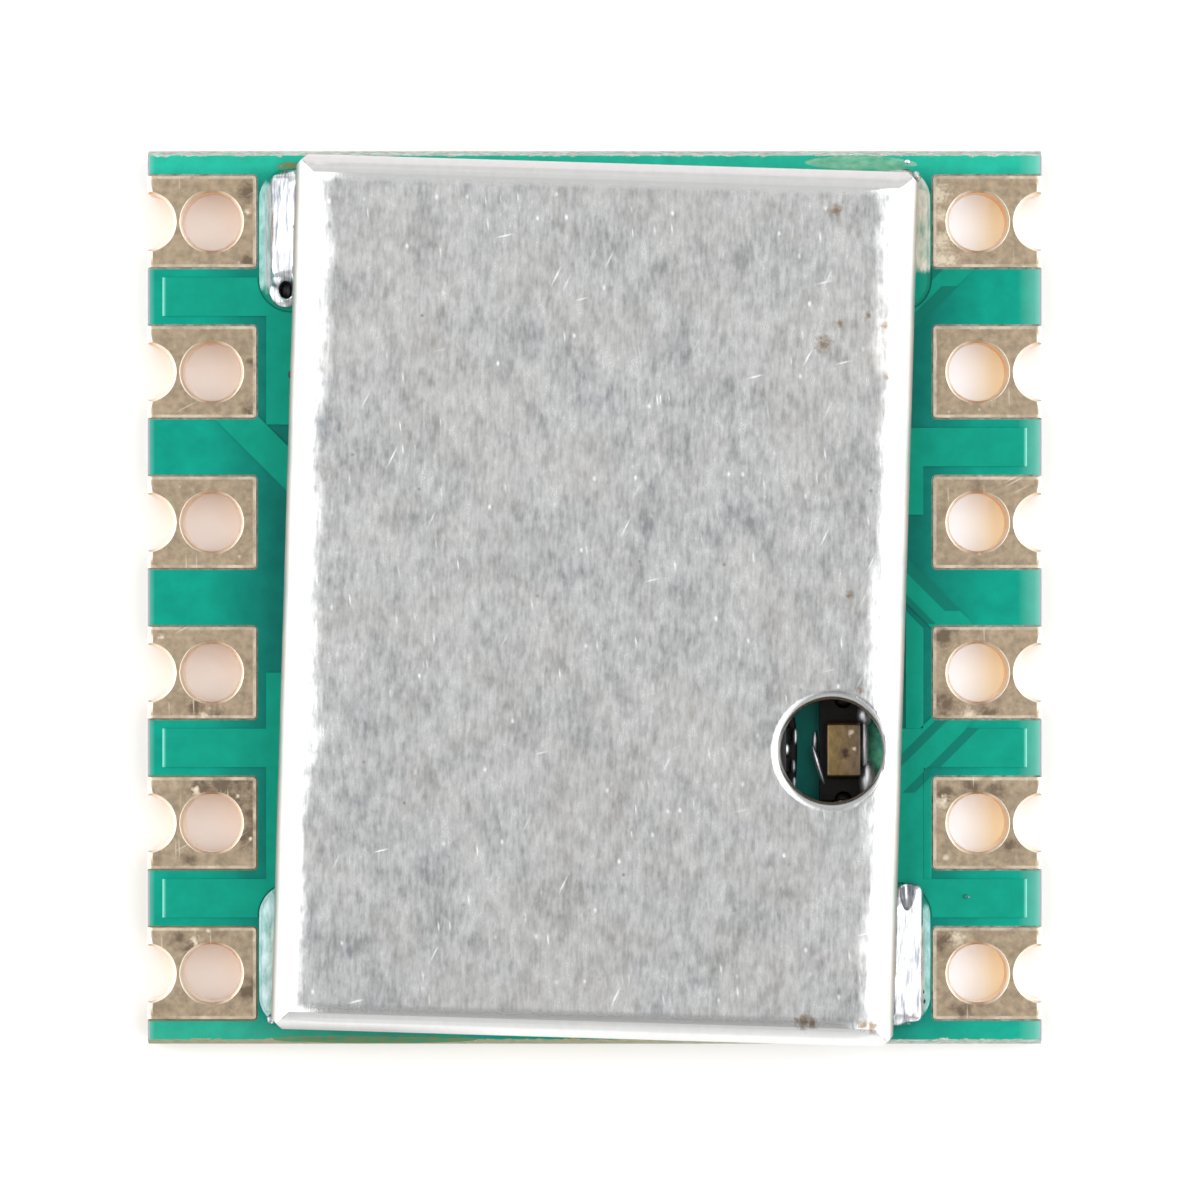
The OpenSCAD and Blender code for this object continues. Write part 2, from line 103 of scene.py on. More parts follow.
class Nodes:
    """A node tree that is built up node by node."""

    def __init__(self, tree: bpy.types.NodeTree) -> None:
        """Takes a tree."""
        self.tree = tree

    def add(self, kind: str, inputs: dict, out: Union[str, int] = 0, **settings: object) -> Socket:
        """Adds a node with its settings and links.

        Args:
            kind: the node's type, without its prefix.
            inputs: a socket to link or a value to set, under each input's name or number.
            out: name or number of the output that is wanted.
            settings: the node's own options.

        Returns:
            The output socket.
        """
        node = self.tree.nodes.new("ShaderNode" + kind)
        for name, value in settings.items():
            setattr(node, name, value)
        for name, value in inputs.items():
            self.feed(node.inputs[name], value)
        return node.outputs[out]

    def feed(self, target: Socket, value: Setting) -> None:
        """Feeds an input.

        Args:
            target: the input.
            value: a socket to link or a value to set.
        """
        if isinstance(value, Socket):
            self.tree.links.new(value, target)
        else:
            target.default_value = value


@dataclass(frozen=True)
class Marks:
    """Scattered strokes or dots: the length and width of the cell that one lies in, their angle about Z, the
    share of the cells that have one, and its half length as a share of its cell."""

    size_mm: tuple[float, float]
    turn: float
    share: float
    reach: float = 0.25


class Recipe(Nodes):
    """The node tree of one material, with its shader and the coordinates of its piece."""

    def __init__(self, name: str) -> None:
        """Starts a material that holds a shader and an output."""
        self.material = bpy.data.materials.new(name)
        self.material.use_nodes = True
        super().__init__(self.material.node_tree)
        self.tree.nodes.clear()
        self.shader = self.tree.nodes.new("ShaderNodeBsdfPrincipled")
        output = self.tree.nodes.new("ShaderNodeOutputMaterial")
        self.tree.links.new(self.shader.outputs[0], output.inputs[0])
        self.place = self.add("TexCoord", {}, "Object")

    def finish(self, **surface: Setting) -> bpy.types.Material:
        """Sets the shader's sockets.

        Args:
            surface: a socket or a value for each shader input, with _ for a space.

        Returns:
            The finished material.
        """
        for name, value in surface.items():
            self.feed(self.shader.inputs[name.replace("_", " ")], value)
        return self.material

    def grain(self, size_mm: Size, turn: float = 0.0, detail: float = 4.0,
              low: float = 0.3, high: float = 0.7) -> Socket:
        """Noise with a grain of a real size.

        Args:
            size_mm: length of the grain along each axis, in millimetres.
            turn: angle of the grain about Z.
            detail: octaves of finer noise.
            low: noise that gives 0.
            high: noise that gives 1.

        Returns:
            A value from 0 to 1.
        """
        place = self.add("Mapping", {
            "Vector": self.place, "Rotation": (0, 0, turn), "Scale": [s * MM for s in size_mm],
        }, vector_type="TEXTURE")
        noise = self.add("TexNoise", {"Vector": place, "Scale": 1.0, "Detail": detail, "Roughness": 0.6})
        return self.add("MapRange", {0: noise, 1: low, 2: high, 3: 0.0, 4: 1.0})

    def marks(self, *kinds: Marks) -> Socket:
        """Scattered strokes or dots on level faces.

        Args:
            kinds: the kinds of mark.

        Returns:
            Up to 1 on a mark, some of them fainter, and 0 off all.
        """
        total = None
        for kind in kinds:
            length, width = (size * MM for size in kind.size_mm)
            place = self.add("Mapping", {
                "Vector": self.place, "Rotation": (0, 0, kind.turn), "Scale": (length, width, MM),
            }, vector_type="TEXTURE")
            cell, gap = (
                self.add("TexVoronoi", {"Vector": place, "Scale": 1.0}, out, voronoi_dimensions="2D")
                for out in ("Color", "Distance")
            )
            chance, depth = (self.add("SeparateColor", {0: cell}, part) for part in ("Red", "Green"))
            kept = self.add("Math", {0: chance, 1: 1 - kind.share}, operation="GREATER_THAN")
            mark = self.add("MapRange", {0: gap, 1: kind.reach, 2: 0.0, 3: 0.0, 4: 1.0})
            for factor in (depth, kept):
                mark = self.add("Math", {0: mark, 1: factor}, operation="MULTIPLY")
            total = mark if total is None else self.add("Math", {0: total, 1: mark}, operation="MAXIMUM")
        return total

    def slope(self) -> Socket:
        """Finds the low slopes that face the two sides: 1 on them, and 0 on level faces."""
        tilt = self.add("SeparateXYZ", {0: self.add("NewGeometry", {}, "Normal")}, "X")
        tilt = self.add("Math", {0: tilt}, operation="ABSOLUTE")
        return self.add("MapRange", {0: tilt, 1: SLOPE_TILT[0], 2: SLOPE_TILT[1], 3: 0.0, 4: 1.0})

    def spots(self, places: tuple[Spot, ...], ragged_mm: float = 0.09) -> Socket:
        """Ragged round stains.

        Args:
            places: x, y and radius of each stain, in millimetres.
            ragged_mm: size of the bays in its outline.

        Returns:
            1 inside a stain and 0 outside all.
        """
        flat = self.add("VectorMath", {0: self.place, 1: (1, 1, 0)}, operation="MULTIPLY")
        ragged = self.grain((ragged_mm,) * 3)
        total = None
        for x, y, radius in places:
            gap = self.add("VectorMath", {0: flat, 1: (x * MM, y * MM, 0)}, "Value", operation="DISTANCE")
            gap = self.add("Math", {0: gap, 1: 1 / (radius * MM), 2: ragged}, operation="MULTIPLY_ADD")
            stain = self.add("MapRange", {0: gap, 1: STAIN_EDGE[0], 2: STAIN_EDGE[1], 3: 0.0, 4: 1.0})
            total = stain if total is None else self.add("Math", {0: total, 1: stain}, operation="MAXIMUM")
        return total


@dataclass(frozen=True)
class Groove:
    """A gap in the copper at 45 degrees: spans of x + slant * y and of y, in millimetres."""

    slant: int
    across: tuple[float, float]
    along: tuple[float, float]


@dataclass(frozen=True)
class BrushedTinplate:
    """Cold-rolled tinplate, brushed along the can: mottled cool grey satin with short bright scratches and
    brown spots, rolled over softly beside the two long folds. Light and shade are painted on the folds: a
    near-white painted highlight, a little greyer on bends that face the ends and mid grey on the window rim,
    and painted shade on bends that face north, on the west part of the south bend and on the steep side
    walls. Tilts are parts of the normal."""

    bright: str = "#E9EAE9"
    dull: str = "#8F9397"
    warm: str = "#A9A6A2"
    scratch: str = "#FFFFFF"
    speck: str = "#6E6C68"
    # Painted light and shade on the folds: fold, end_fold and rolled are painted highlights, north, shaded
    # and fringe painted shade.
    fold: str = "#F6F6F5"
    end_fold: str = "#E6E6E5"
    north: str = "#CFCBCC"
    shaded: str = "#8A8782"
    fringe: str = "#A39F98"
    rolled: str = "#C6C7C7"
    rust: str = "#8A6F50"
    end_tilt: tuple[float, float] = (0.1, 0.25)
    north_tilt: tuple[float, float] = (0.55, 0.72)
    shaded_tilt: tuple[float, float] = (-0.7, -0.95)
    fringe_tilt: tuple[float, float] = (0.82, 0.97)
    fold_tilt: tuple[float, float] = (0.998, 0.97)
    flank_tilt: tuple[float, float] = (0.7, 0.85)
    shaded_mm: tuple[float, float] = (-1.5, -3.5)
    roll_mm: tuple[float, float] = (4.67, 4.90)
    roll_wave_mm: float = 0.27
    roll_depth_mm: float = 0.34
    brush_depth_mm: float = 0.002
    window_mm: tuple[float, float] = (3.97, -2.57)
    window_rim_mm: tuple[float, float] = (1.15, 1.08)
    streak_mm: Size = (0.06, 0.3, 0.3)
    mottle_mm: Size = (0.15, 0.24, 0.3)
    cloud_mm: Size = (0.55, 0.9, 0.9)
    patch_mm: Size = (1.3, 1.6, 1.3)
    patch_turn: float = 0.6
    wave_length_mm: Size = (3.0, 1.5, 3.0)
    tone_range: tuple[float, float] = (0.6, 2.4)
    scratch_share: float = 0.75
    stain_share: float = 0.8
    rough: tuple[float, float] = (0.34, 0.26)
    scratch_rough: float = 0.3
    fold_rough: float = 0.24
    flank_rough: float = 0.6
    scratches: tuple[Marks, ...] = (
        Marks((0.65, 0.06), math.radians(64), 0.014, 0.35), Marks((0.4, 0.06), math.radians(96), 0.03, 0.3),
        Marks((0.5, 0.06), math.radians(14), 0.006, 0.35), Marks((0.4, 0.25), math.radians(92), 0.08, 0.15),
    )
    specks: Marks = Marks((0.45, 0.45), 0.3, 0.04, 0.09)
    stains: tuple[Spot, ...] = (
        (4.03, 6.47, 0.13), (4.10, 4.57, 0.08), (3.83, 4.24, 0.16), (4.58, 4.72, 0.06), (4.86, 4.56, 0.08),
        (4.88, 3.67, 0.07), (4.27, 0.04, 0.08), (4.44, -1.56, 0.07), (3.50, -7.10, 0.17),
        (3.63, -7.12, 0.12), (4.50, -7.16, 0.10), (4.66, -7.18, 0.12),
    )

    def make(self) -> bpy.types.Material:
        """Makes the node material."""
        r = Recipe("tinplate_brushed")
        streak = r.grain(self.streak_mm, CAN_TURN)
        tone = streak
        for grain in (r.grain(self.mottle_mm, CAN_TURN), r.grain(self.cloud_mm, CAN_TURN, detail=5.0)):
            tone = r.add("Math", {0: tone, 1: grain}, operation="ADD")
        dark, light = self.tone_range
        tone = r.add("MapRange", {0: tone, 1: dark, 2: light, 3: 0.0, 4: 1.0})
        patch = r.grain(self.patch_mm, self.patch_turn, detail=3.0)
        cut = r.add("Math", {0: r.marks(*self.scratches), 1: self.scratch_share}, operation="MULTIPLY")
        speck = r.marks(self.specks)
        colour = linear(self.dull)
        coats = ((patch, self.warm), (tone, self.bright), (cut, self.scratch), (speck, self.speck))
        for share, top in coats:
            colour = r.add("Mix", {0: share, 6: colour, 7: linear(top)}, 2, data_type="RGBA")
        normal = r.add("NewGeometry", {}, "Normal")
        across, along, level = (r.add("SeparateXYZ", {0: normal}, axis) for axis in "XYZ")
        side, end = (r.add("Math", {0: lean}, operation="ABSOLUTE") for lean in (across, along))
        end, steep, under, fringe, fold, flank = (
            r.add("MapRange", {0: lean, 1: start, 2: stop, 3: 0.0, 4: full})
            for lean, (start, stop), full in (
                (end, self.end_tilt, 1.0), (along, self.north_tilt, 1.0), (along, self.shaded_tilt, 1.0),
                (side, self.fringe_tilt, 0.9), (level, self.fold_tilt, 0.9), (side, self.flank_tilt, 1.0),
            )
        )
        start, stop = (edge * MM for edge in self.shaded_mm)
        west = r.add("SeparateXYZ", {0: r.place}, "X")
        west = r.add("MapRange", {0: west, 1: start, 2: stop, 3: 0.0, 4: 0.8})
        under = r.add("Math", {0: under, 1: west}, operation="MULTIPLY")
        # The folds get painted highlights in fold, end_fold and rolled, and painted shade in north, shaded
        # and fringe.
        far = r.add("Mix", {
            0: self.window_rim(r), 6: linear(self.end_fold), 7: linear(self.rolled),
        }, 2, data_type="RGBA")
        tin = r.add("Mix", {0: end, 6: linear(self.fold), 7: far}, 2, data_type="RGBA")
        for share, top in ((steep, self.north), (under, self.shaded), (fringe, self.fringe)):
            tin = r.add("Mix", {0: share, 6: tin, 7: linear(top)}, 2, data_type="RGBA")
        stain = r.add("Math", {0: r.spots(self.stains), 1: self.stain_share}, operation="MULTIPLY")
        for share, top in ((fold, tin), (stain, linear(self.rust))):
            colour = r.add("Mix", {0: share, 6: colour, 7: top}, 2, data_type="RGBA")
        rough = r.add("MapRange", {0: tone, 1: 0.0, 2: 1.0, 3: self.rough[0], 4: self.rough[1]})
        rough = r.add("Math", {0: cut, 1: self.scratch_rough, 2: rough}, operation="MULTIPLY_ADD")
        for share, other in ((fold, self.fold_rough), (flank, self.flank_rough)):
            rough = r.add("Mix", {0: share, 2: rough, 3: other})
        height = r.add("Math", {0: streak, 1: cut}, operation="SUBTRACT")
        grained = r.add("Bump", {
            "Height": height, "Distance": self.brush_depth_mm * MM, "Strength": 0.5, "Normal": self.roll(r),
        })
        return r.finish(Base_Color=colour, Metallic=1.0, Roughness=rough, Normal=grained)

    def window_rim(self, r: Recipe) -> Socket:
        """Finds the rolled rim of the window.

        Args:
            r: the recipe in hand.

        Returns:
            1 on the rim and inside it, and 0 outside.
        """
        flat = r.add("VectorMath", {0: r.place, 1: (1, 1, 0)}, operation="MULTIPLY")
        middle = Vector((*self.window_mm, 0)) * MM
        radius = r.add("VectorMath", {0: flat, 1: middle}, "Value", operation="DISTANCE")
        outer, inner = (edge * MM for edge in self.window_rim_mm)
        return r.add("MapRange", {0: radius, 1: outer, 2: inner, 3: 0.0, 4: 1.0})

    def roll(self, r: Recipe) -> Socket:
        """Tilts the surface a little before the two long folds, along a wavy line.

        Args:
            r: the recipe in hand.

        Returns:
            The tilted normal.
        """
        across = r.add("Mapping", {"Vector": r.place, "Rotation": (0, 0, -CAN_TURN)}, vector_type="POINT")
        across = r.add("Math", {0: r.add("SeparateXYZ", {0: across}, "X")}, operation="ABSOLUTE")
        start, stop = (edge * MM for edge in self.roll_mm)
        across = r.add("Math", {0: across, 1: stop}, operation="MINIMUM")
        wave = r.grain(self.wave_length_mm, CAN_TURN, detail=1.0)
        across = r.add("Math", {0: wave, 1: self.roll_wave_mm * MM, 2: across}, operation="MULTIPLY_ADD")
        over = r.add("Math", {0: across, 1: start}, operation="SUBTRACT")
        over = r.add("Math", {0: over, 1: 1 / MM}, operation="MULTIPLY")
        over = r.add("Math", {0: over, 1: 0.0}, operation="MAXIMUM")
        sink = r.add("Math", {0: over, 1: over}, operation="MULTIPLY")
        sink = r.add("Math", {0: 1.0, 1: sink}, operation="SUBTRACT")
        return r.add("Bump", {"Height": sink, "Distance": self.roll_depth_mm * MM, "Strength": 1.0})


@dataclass(frozen=True)
class MaskOnLaminate:
    """Green solder mask, printed on glass-fibre laminate: glossy, with painted light where light enters at
    the sides and ends, lighter and warmer towards the west of the south end, a painted pool of light inside
    the can's window, painted highlights along the routed sides and a painted dark line on their very edges.
    The highlights and the line are measured in from the routed sides, and the torn edge from the snapped
    ends."""

    deep: str = "#0C6A60"
    # lit, end, lamp and pale are colours of painted light, and edge is the colour of a painted dark line.
    lit: str = "#0B8E7A"
    end: str = "#25A98F"
    warm: str = "#4FA582"
    lamp: str = "#74D9AE"
    pale: str = "#8FCBBE"
    edge: str = "#9C9BA6"
    snapped: str = "#CBD4D0"
    sawn: str = "#A79E78"
    fibre: str = "#7E8272"
    lit_mm: tuple[float, float] = (5.3, 6.6)
    end_mm: tuple[float, float] = (6.9, 7.3)
    warm_mm: tuple[float, float] = (-2.0, -5.0)
    window_light_at: Spot = (4.80, -2.80, 0.75)
    can_mm: float = 5.0
    skin_mm: float = 0.03
    rim_mm: tuple[float, float] = (0.12, 0.04)
    east_light_mm: tuple[float, float] = (0.4, 0.04)
    line_mm: tuple[float, float] = (0.04, 0.025)
    torn_mm: tuple[float, float] = (0.05, 0.07)
    bay_mm: Size = (0.16, 0.1, 0.1)
    cloud_mm: Size = (0.35, 0.35, 0.35)
    cloud_shade: tuple[float, float] = (0.88, 1.1)
    fibre_mm: Size = (0.12, 0.12, 0.03)
    white_mm: float = 5.0
    rough: tuple[float, float] = (0.7, 0.15)

    def make(self) -> bpy.types.Material:
        """Makes the node material."""
        r = Recipe("solder_mask_on_laminate")
        low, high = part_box("printed_board")
        x, y, z = (r.add("SeparateXYZ", {0: r.place}, axis) for axis in "XYZ")
        side, length = (r.add("Math", {0: run}, operation="ABSOLUTE") for run in (x, y))
        edge = high.x / MM
        # Painted light: lit and the two ends where light comes through the laminate, rim and the east strip
        # as highlights near the routed sides, and line as a dark line on their very edges; warm tints the
        # south end's west part.
        lit, north, south, warm, rim, wear_and_edge_light, line = (
            r.add("MapRange", {0: run, 1: start * MM, 2: stop * MM, 3: 0.0, 4: full})
            for run, start, stop, full in (
                (side, *self.lit_mm, 1.0), (y, *self.end_mm, 1.0), (y, *(-at for at in self.end_mm), 0.4),
                (x, *self.warm_mm, 0.6), (side, *(edge - at for at in self.rim_mm), 0.3),
                (x, *(edge - at for at in self.east_light_mm), 0.4),
                (side, *(edge - at for at in self.line_mm), 1.0),
            )
        )
        end = r.add("Math", {0: north, 1: south}, operation="ADD")
        warm = r.add("Math", {0: warm, 1: south}, operation="MULTIPLY")
        middle = (low.z + high.z) / 2
        # A painted pool of light on the board inside the can's window, in the lamp colour.
        lamp = r.spots((self.window_light_at,), ragged_mm=0.3)
        for run, limit, test in ((x, self.can_mm * MM, "LESS_THAN"), (z, middle, "GREATER_THAN")):
            inside = r.add("Math", {0: run, 1: limit}, operation=test)
            lamp = r.add("Math", {0: lamp, 1: inside}, operation="MULTIPLY")
        colour = linear(self.deep)
        for share, top in ((lit, self.lit), (end, self.end), (warm, self.warm), (lamp, self.lamp)):
            colour = r.add("Mix", {0: share, 6: colour, 7: linear(top)}, 2, data_type="RGBA")
        dark, light = self.cloud_shade
        shade = r.add("MapRange", {0: r.grain(self.cloud_mm), 1: 0.0, 2: 1.0, 3: dark, 4: light})
        colour = r.add("Mix", {0: 1.0, 6: colour, 7: shade}, 2, data_type="RGBA", blend_type="MULTIPLY")
        for share, top in ((rim, self.pale), (wear_and_edge_light, self.pale), (line, self.edge)):
            colour = r.add("Mix", {0: share, 6: colour, 7: linear(top)}, 2, data_type="RGBA")
        inset, bay = (size * MM for size in self.torn_mm)
        ragged = r.grain(self.bay_mm, detail=5.0)
        length = r.add("Math", {0: ragged, 1: bay, 2: length}, operation="MULTIPLY_ADD")
        kept = r.add("Math", {0: length, 1: high.y - inset}, operation="LESS_THAN")
        depth = r.add("Math", {0: z, 1: middle}, operation="SUBTRACT")
        depth = r.add("Math", {0: depth}, operation="ABSOLUTE")
        skin = (high.z - low.z) / 2 - self.skin_mm * MM
        skin = r.add("Math", {0: depth, 1: skin}, operation="GREATER_THAN")
        masked = r.add("Math", {0: kept, 1: skin}, operation="MULTIPLY")
        full = self.white_mm * MM
        upper = r.add("MapRange", {0: y, 1: -full, 2: full, 3: 0.0, 4: 1.0})
        east = r.add("MapRange", {0: x, 1: 0.0, 2: full, 3: 0.0, 4: 1.0})
        white = r.add("Math", {0: upper, 1: east}, operation="MAXIMUM")
        glass = r.add("Mix", {0: white, 6: linear(self.sawn), 7: linear(self.snapped)}, 2, data_type="RGBA")
        fibre = r.grain(self.fibre_mm, detail=5.0)
        bare = r.add("Mix", {0: fibre, 6: linear(self.fibre), 7: glass}, 2, data_type="RGBA")
        colour = r.add("Mix", {0: masked, 6: bare, 7: colour}, 2, data_type="RGBA")
        rough = r.add("MapRange", {0: masked, 1: 0.0, 2: 1.0, 3: self.rough[0], 4: self.rough[1]})
        return r.finish(Base_Color=colour, Roughness=rough, Specular_IOR_Level=MASK_SHINE)


@dataclass(frozen=True)
class MaskOverCopper:
    """Green solder mask, printed over copper: wet and even, drawn thin where it runs off the outer ends,
    with a pale, partly metallic painted highlight on those slopes, and dark along the gaps between tracks."""

    low: str = "#0C8973"
    high: str = "#0F947D"
    # thin and its metal are the painted highlight on the slopes at the outer ends.
    thin: str = "#86D2C2"
    gap: str = "#0E7263"
    outer_mm: float = 6.5
    cloud_mm: Size = (0.4, 0.4, 0.4)
    slope_highlight_metal: float = 0.2
    rough: float = 0.16
    grooves: tuple[Groove, ...] = (
        Groove(1, (5.683, 6.0), (-0.23, 1.2)), Groove(1, (5.10, 5.315), (-0.45, 1.0)),
        Groove(-1, (7.825, 8.035), (-3.0, -2.0)), Groove(-1, (8.494, 8.706), (-3.3, -2.05)),
        Groove(-1, (0.60, 0.95), (4.3, 5.26)), Groove(-1, (-0.10, 0.34), (4.3, 5.6)),
    )

    def make(self) -> bpy.types.Material:
        """Makes the node material."""
        r = Recipe("solder_mask_over_copper")
        outer = r.add("Math", {0: r.add("SeparateXYZ", {0: r.place}, "X")}, operation="ABSOLUTE")
        outer = r.add("Math", {0: outer, 1: self.outer_mm * MM}, operation="GREATER_THAN")
        # Painted highlight on the slopes at the outer ends.
        slope = r.add("Math", {0: r.slope(), 1: outer}, operation="MULTIPLY")
        colour = linear(self.low)
        for share, top in ((r.grain(self.cloud_mm), self.high), (slope, self.thin)):
            colour = r.add("Mix", {0: share, 6: colour, 7: linear(top)}, 2, data_type="RGBA")
        y = r.add("SeparateXYZ", {0: r.place}, "Y")
        for groove in self.grooves:
            slant = (1, groove.slant, 0)
            across = r.add("VectorMath", {0: r.place, 1: slant}, "Value", operation="DOT_PRODUCT")
            spans = [
                r.add("Math", {
                    0: run, 1: (low + high) / 2 * MM, 2: (high - low) / 2 * MM,
                }, operation="COMPARE")
                for run, (low, high) in ((across, groove.across), (y, groove.along))
            ]
            inside = r.add("Math", {0: spans[0], 1: spans[1]}, operation="MULTIPLY")
            colour = r.add("Mix", {0: inside, 6: colour, 7: linear(self.gap)}, 2, data_type="RGBA")
        metal = r.add("Math", {0: slope, 1: self.slope_highlight_metal}, operation="MULTIPLY")
        return r.finish(
            Base_Color=colour, Metallic=metal, Roughness=self.rough, Specular_IOR_Level=MASK_SHINE,
        )


@dataclass(frozen=True)
class SlotLand:
    """Tinned land round a slot, under a thin run of solder mask: a painted highlight in pale mask colour
    along the slope, streaked on top, and green past the ends of the run."""

    name: str
    # slope: colour of the painted highlight along the slope.
    slope: str
    pale: str
    dull: str
    span_mm: tuple[float, float]
    mask: str = "#077F69"
    fade_mm: float = 0.12
    streak_mm: Size = (0.04, 0.35, 0.3)
    run_mm: Size = (0.12, 0.3, 0.3)
    pale_share: float = 0.3
    metal: float = 0.3
    rough: float = 0.38

    def make(self) -> bpy.types.Material:
        """Makes the node material."""
        r = Recipe(self.name)
        streak = r.grain(self.streak_mm)
        thick = r.grain(self.run_mm)
        # The mask run on the slopes, mixed with the painted highlight colour.
        run = linear(self.mask)
        for share in (thick, self.pale_share):
            run = r.add("Mix", {0: share, 6: run, 7: linear(self.slope)}, 2, data_type="RGBA")
        colour = linear(self.dull)
        for share, top in ((streak, linear(self.pale)), (r.slope(), run)):
            colour = r.add("Mix", {0: share, 6: colour, 7: top}, 2, data_type="RGBA")
        fade = self.fade_mm * MM
        along = r.add("Math", {0: r.add("SeparateXYZ", {0: r.place}, "Y")}, operation="ABSOLUTE")
        along = r.add("Math", {0: thick, 1: fade, 2: along}, operation="MULTIPLY_ADD")
        near, far = (edge * MM for edge in self.span_mm)
        inside = r.add("MapRange", {0: along, 1: near, 2: near + fade, 3: 0.0, 4: 1.0})
        beyond = r.add("MapRange", {0: along, 1: far, 2: far + fade, 3: 1.0, 4: 0.0})
        inside = r.add("Math", {0: inside, 1: beyond}, operation="MULTIPLY")
        colour = r.add("Mix", {0: inside, 6: linear(self.mask), 7: colour}, 2, data_type="RGBA")
        metal = r.add("Math", {0: inside, 1: self.metal}, operation="MULTIPLY")
        return r.finish(
            Base_Color=colour, Metallic=metal, Roughness=self.rough, Specular_IOR_Level=MASK_SHINE,
        )


@dataclass(frozen=True)
class TarnishedGold:
    """Immersion gold over nickel: champagne with brown tarnish and fine scratches, and clean in the bores.
    Light
    is painted on it too: a painted highlight on the rims that face the two sides, a thin one just inside
    each pad's edge in the chip colour, and painted light in the bores, pale on the walls that face one way
    and warm on the others."""

    clean: str = "#C9B498"
    wear_and_edge_light: str = "#A3927D"
    tarnish: str = "#66584A"
    # chip also colours a painted highlight just inside each pad's edge; rim, bore_pale and bore_warm are
    # colours of painted light.
    chip: str = "#F3E4CC"
    scratch: str = "#FFF6E4"
    rim: str = "#FFF6E6"
    bore_pale: str = "#FFF6EE"
    bore_warm: str = "#EFB473"
    bore_light: tuple[float, float, float] = (0.3, 0.4, 0.0)
    grit_depth_mm: float = 0.004
    pitch_mm: float = 2.54
    inner_mm: float = 5.72
    half_mm: float = 0.775
    line_mm: tuple[float, float] = (0.062, 0.045)
    speck_mm: Size = (0.13, 0.13, 0.13)
    cloud_mm: Size = (0.45, 0.45, 0.45)
    edge_mm: Size = (0.3, 0.3, 0.3)
    cloud_share: float = 0.6
    stain_share: float = 0.9
    chip_share: float = 0.8
    scratch_share: float = 0.7
    rim_tilt: tuple[float, float] = (0.1, 0.3)
    wall_tilt: tuple[float, float] = (0.85, 0.4)
    rough: tuple[float, float] = (0.3, 0.5)
    scratches: tuple[Marks, ...] = (
        Marks((0.9, 0.07), 0.5, 0.04), Marks((0.8, 0.06), 1.6, 0.05), Marks((0.25, 0.25), 0.0, 0.06, 0.14),
    )
    stains: tuple[Spot, ...] = (
        (-5.89, 6.82, 0.27), (-5.86, 5.66, 0.20), (-5.81, 3.98, 0.12), (-5.82, 3.12, 0.22),
        (-6.79, -1.88, 0.25), (-6.41, -1.95, 0.20), (-6.67, -3.20, 0.34), (-6.30, -3.22, 0.40),
        (-5.92, -3.28, 0.42), (-5.84, -3.67, 0.34), (-5.84, -4.05, 0.30), (-6.85, -4.43, 0.20),
        (-7.04, -5.77, 0.18), (-6.82, -5.90, 0.18), (-5.82, -6.61, 0.30), (5.90, -0.62, 0.32),
        (5.92, -1.82, 0.32), (6.59, -1.95, 0.26), (5.88, -3.30, 0.27), (6.39, -3.21, 0.25),
        (6.76, -3.29, 0.26), (7.00, -4.23, 0.25), (5.88, -5.80, 0.27), (6.22, -7.03, 0.25),
    )
    chips: tuple[Spot, ...] = (
        (-5.86, 6.51, 0.06), (5.82, 6.80, 0.20), (5.86, 6.45, 0.12), (5.86, 6.02, 0.20), (5.83, 5.72, 0.22),
        (6.02, 5.70, 0.14), (-5.82, -4.08, 0.04), (-6.03, -3.35, 0.04), (-6.74, -3.25, 0.09),
        (-6.76, -5.80, 0.10), (-6.52, -5.63, 0.05), (6.31, -1.97, 0.14), (5.88, -3.46, 0.14),
        (5.93, -4.40, 0.06), (6.14, -5.76, 0.16), (-6.60, -2.02, 0.10), (-7.33, -0.67, 0.06),
    )

    def make(self) -> bpy.types.Material:
        """Makes the node material."""
        r = Recipe("immersion_gold_tarnished")
        speck = r.grain(self.speck_mm, detail=5.0)
        cloud = r.grain(self.cloud_mm, detail=6.0)
        dark = r.add("MapRange", {0: cloud, 1: 0.5, 2: 1.0, 3: 0.0, 4: self.cloud_share})
        stain = r.spots(self.stains, ragged_mm=0.2)
        stain = r.add("Math", {0: stain, 1: self.stain_share}, operation="MULTIPLY")
        dark = r.add("Math", {0: dark, 1: stain}, operation="MAXIMUM")
        # A painted highlight along the inside of each pad's edge, added to the chips.
        edge = r.add("Math", {0: self.rim_line(r), 1: r.grain(self.edge_mm)}, operation="MULTIPLY")
        chip = r.add("Math", {0: r.spots(self.chips, ragged_mm=0.06), 1: edge}, operation="MAXIMUM")
        chip = r.add("Math", {0: chip, 1: self.chip_share}, operation="MULTIPLY")
        cut = r.add("Math", {0: r.marks(*self.scratches), 1: self.scratch_share}, operation="MULTIPLY")
        normal = r.add("NewGeometry", {}, "Normal")
        side, level = (
            r.add("Math", {0: r.add("SeparateXYZ", {0: normal}, axis)}, operation="ABSOLUTE")
            for axis in "XZ"
        )
        # rim: a painted highlight on the rims that face the two sides.
        rim, wall = (
            r.add("MapRange", {0: lean, 1: start, 2: stop, 3: 0.0, 4: 1.0})
            for lean, (start, stop) in ((side, self.rim_tilt), (level, self.wall_tilt))
        )
        colour = linear(self.wear_and_edge_light)
        coats = ((speck, self.clean), (dark, self.tarnish), (chip, self.chip), (cut, self.scratch))
        for share, top in (*coats, (rim, self.rim)):
            colour = r.add("Mix", {0: share, 6: colour, 7: linear(top)}, 2, data_type="RGBA")
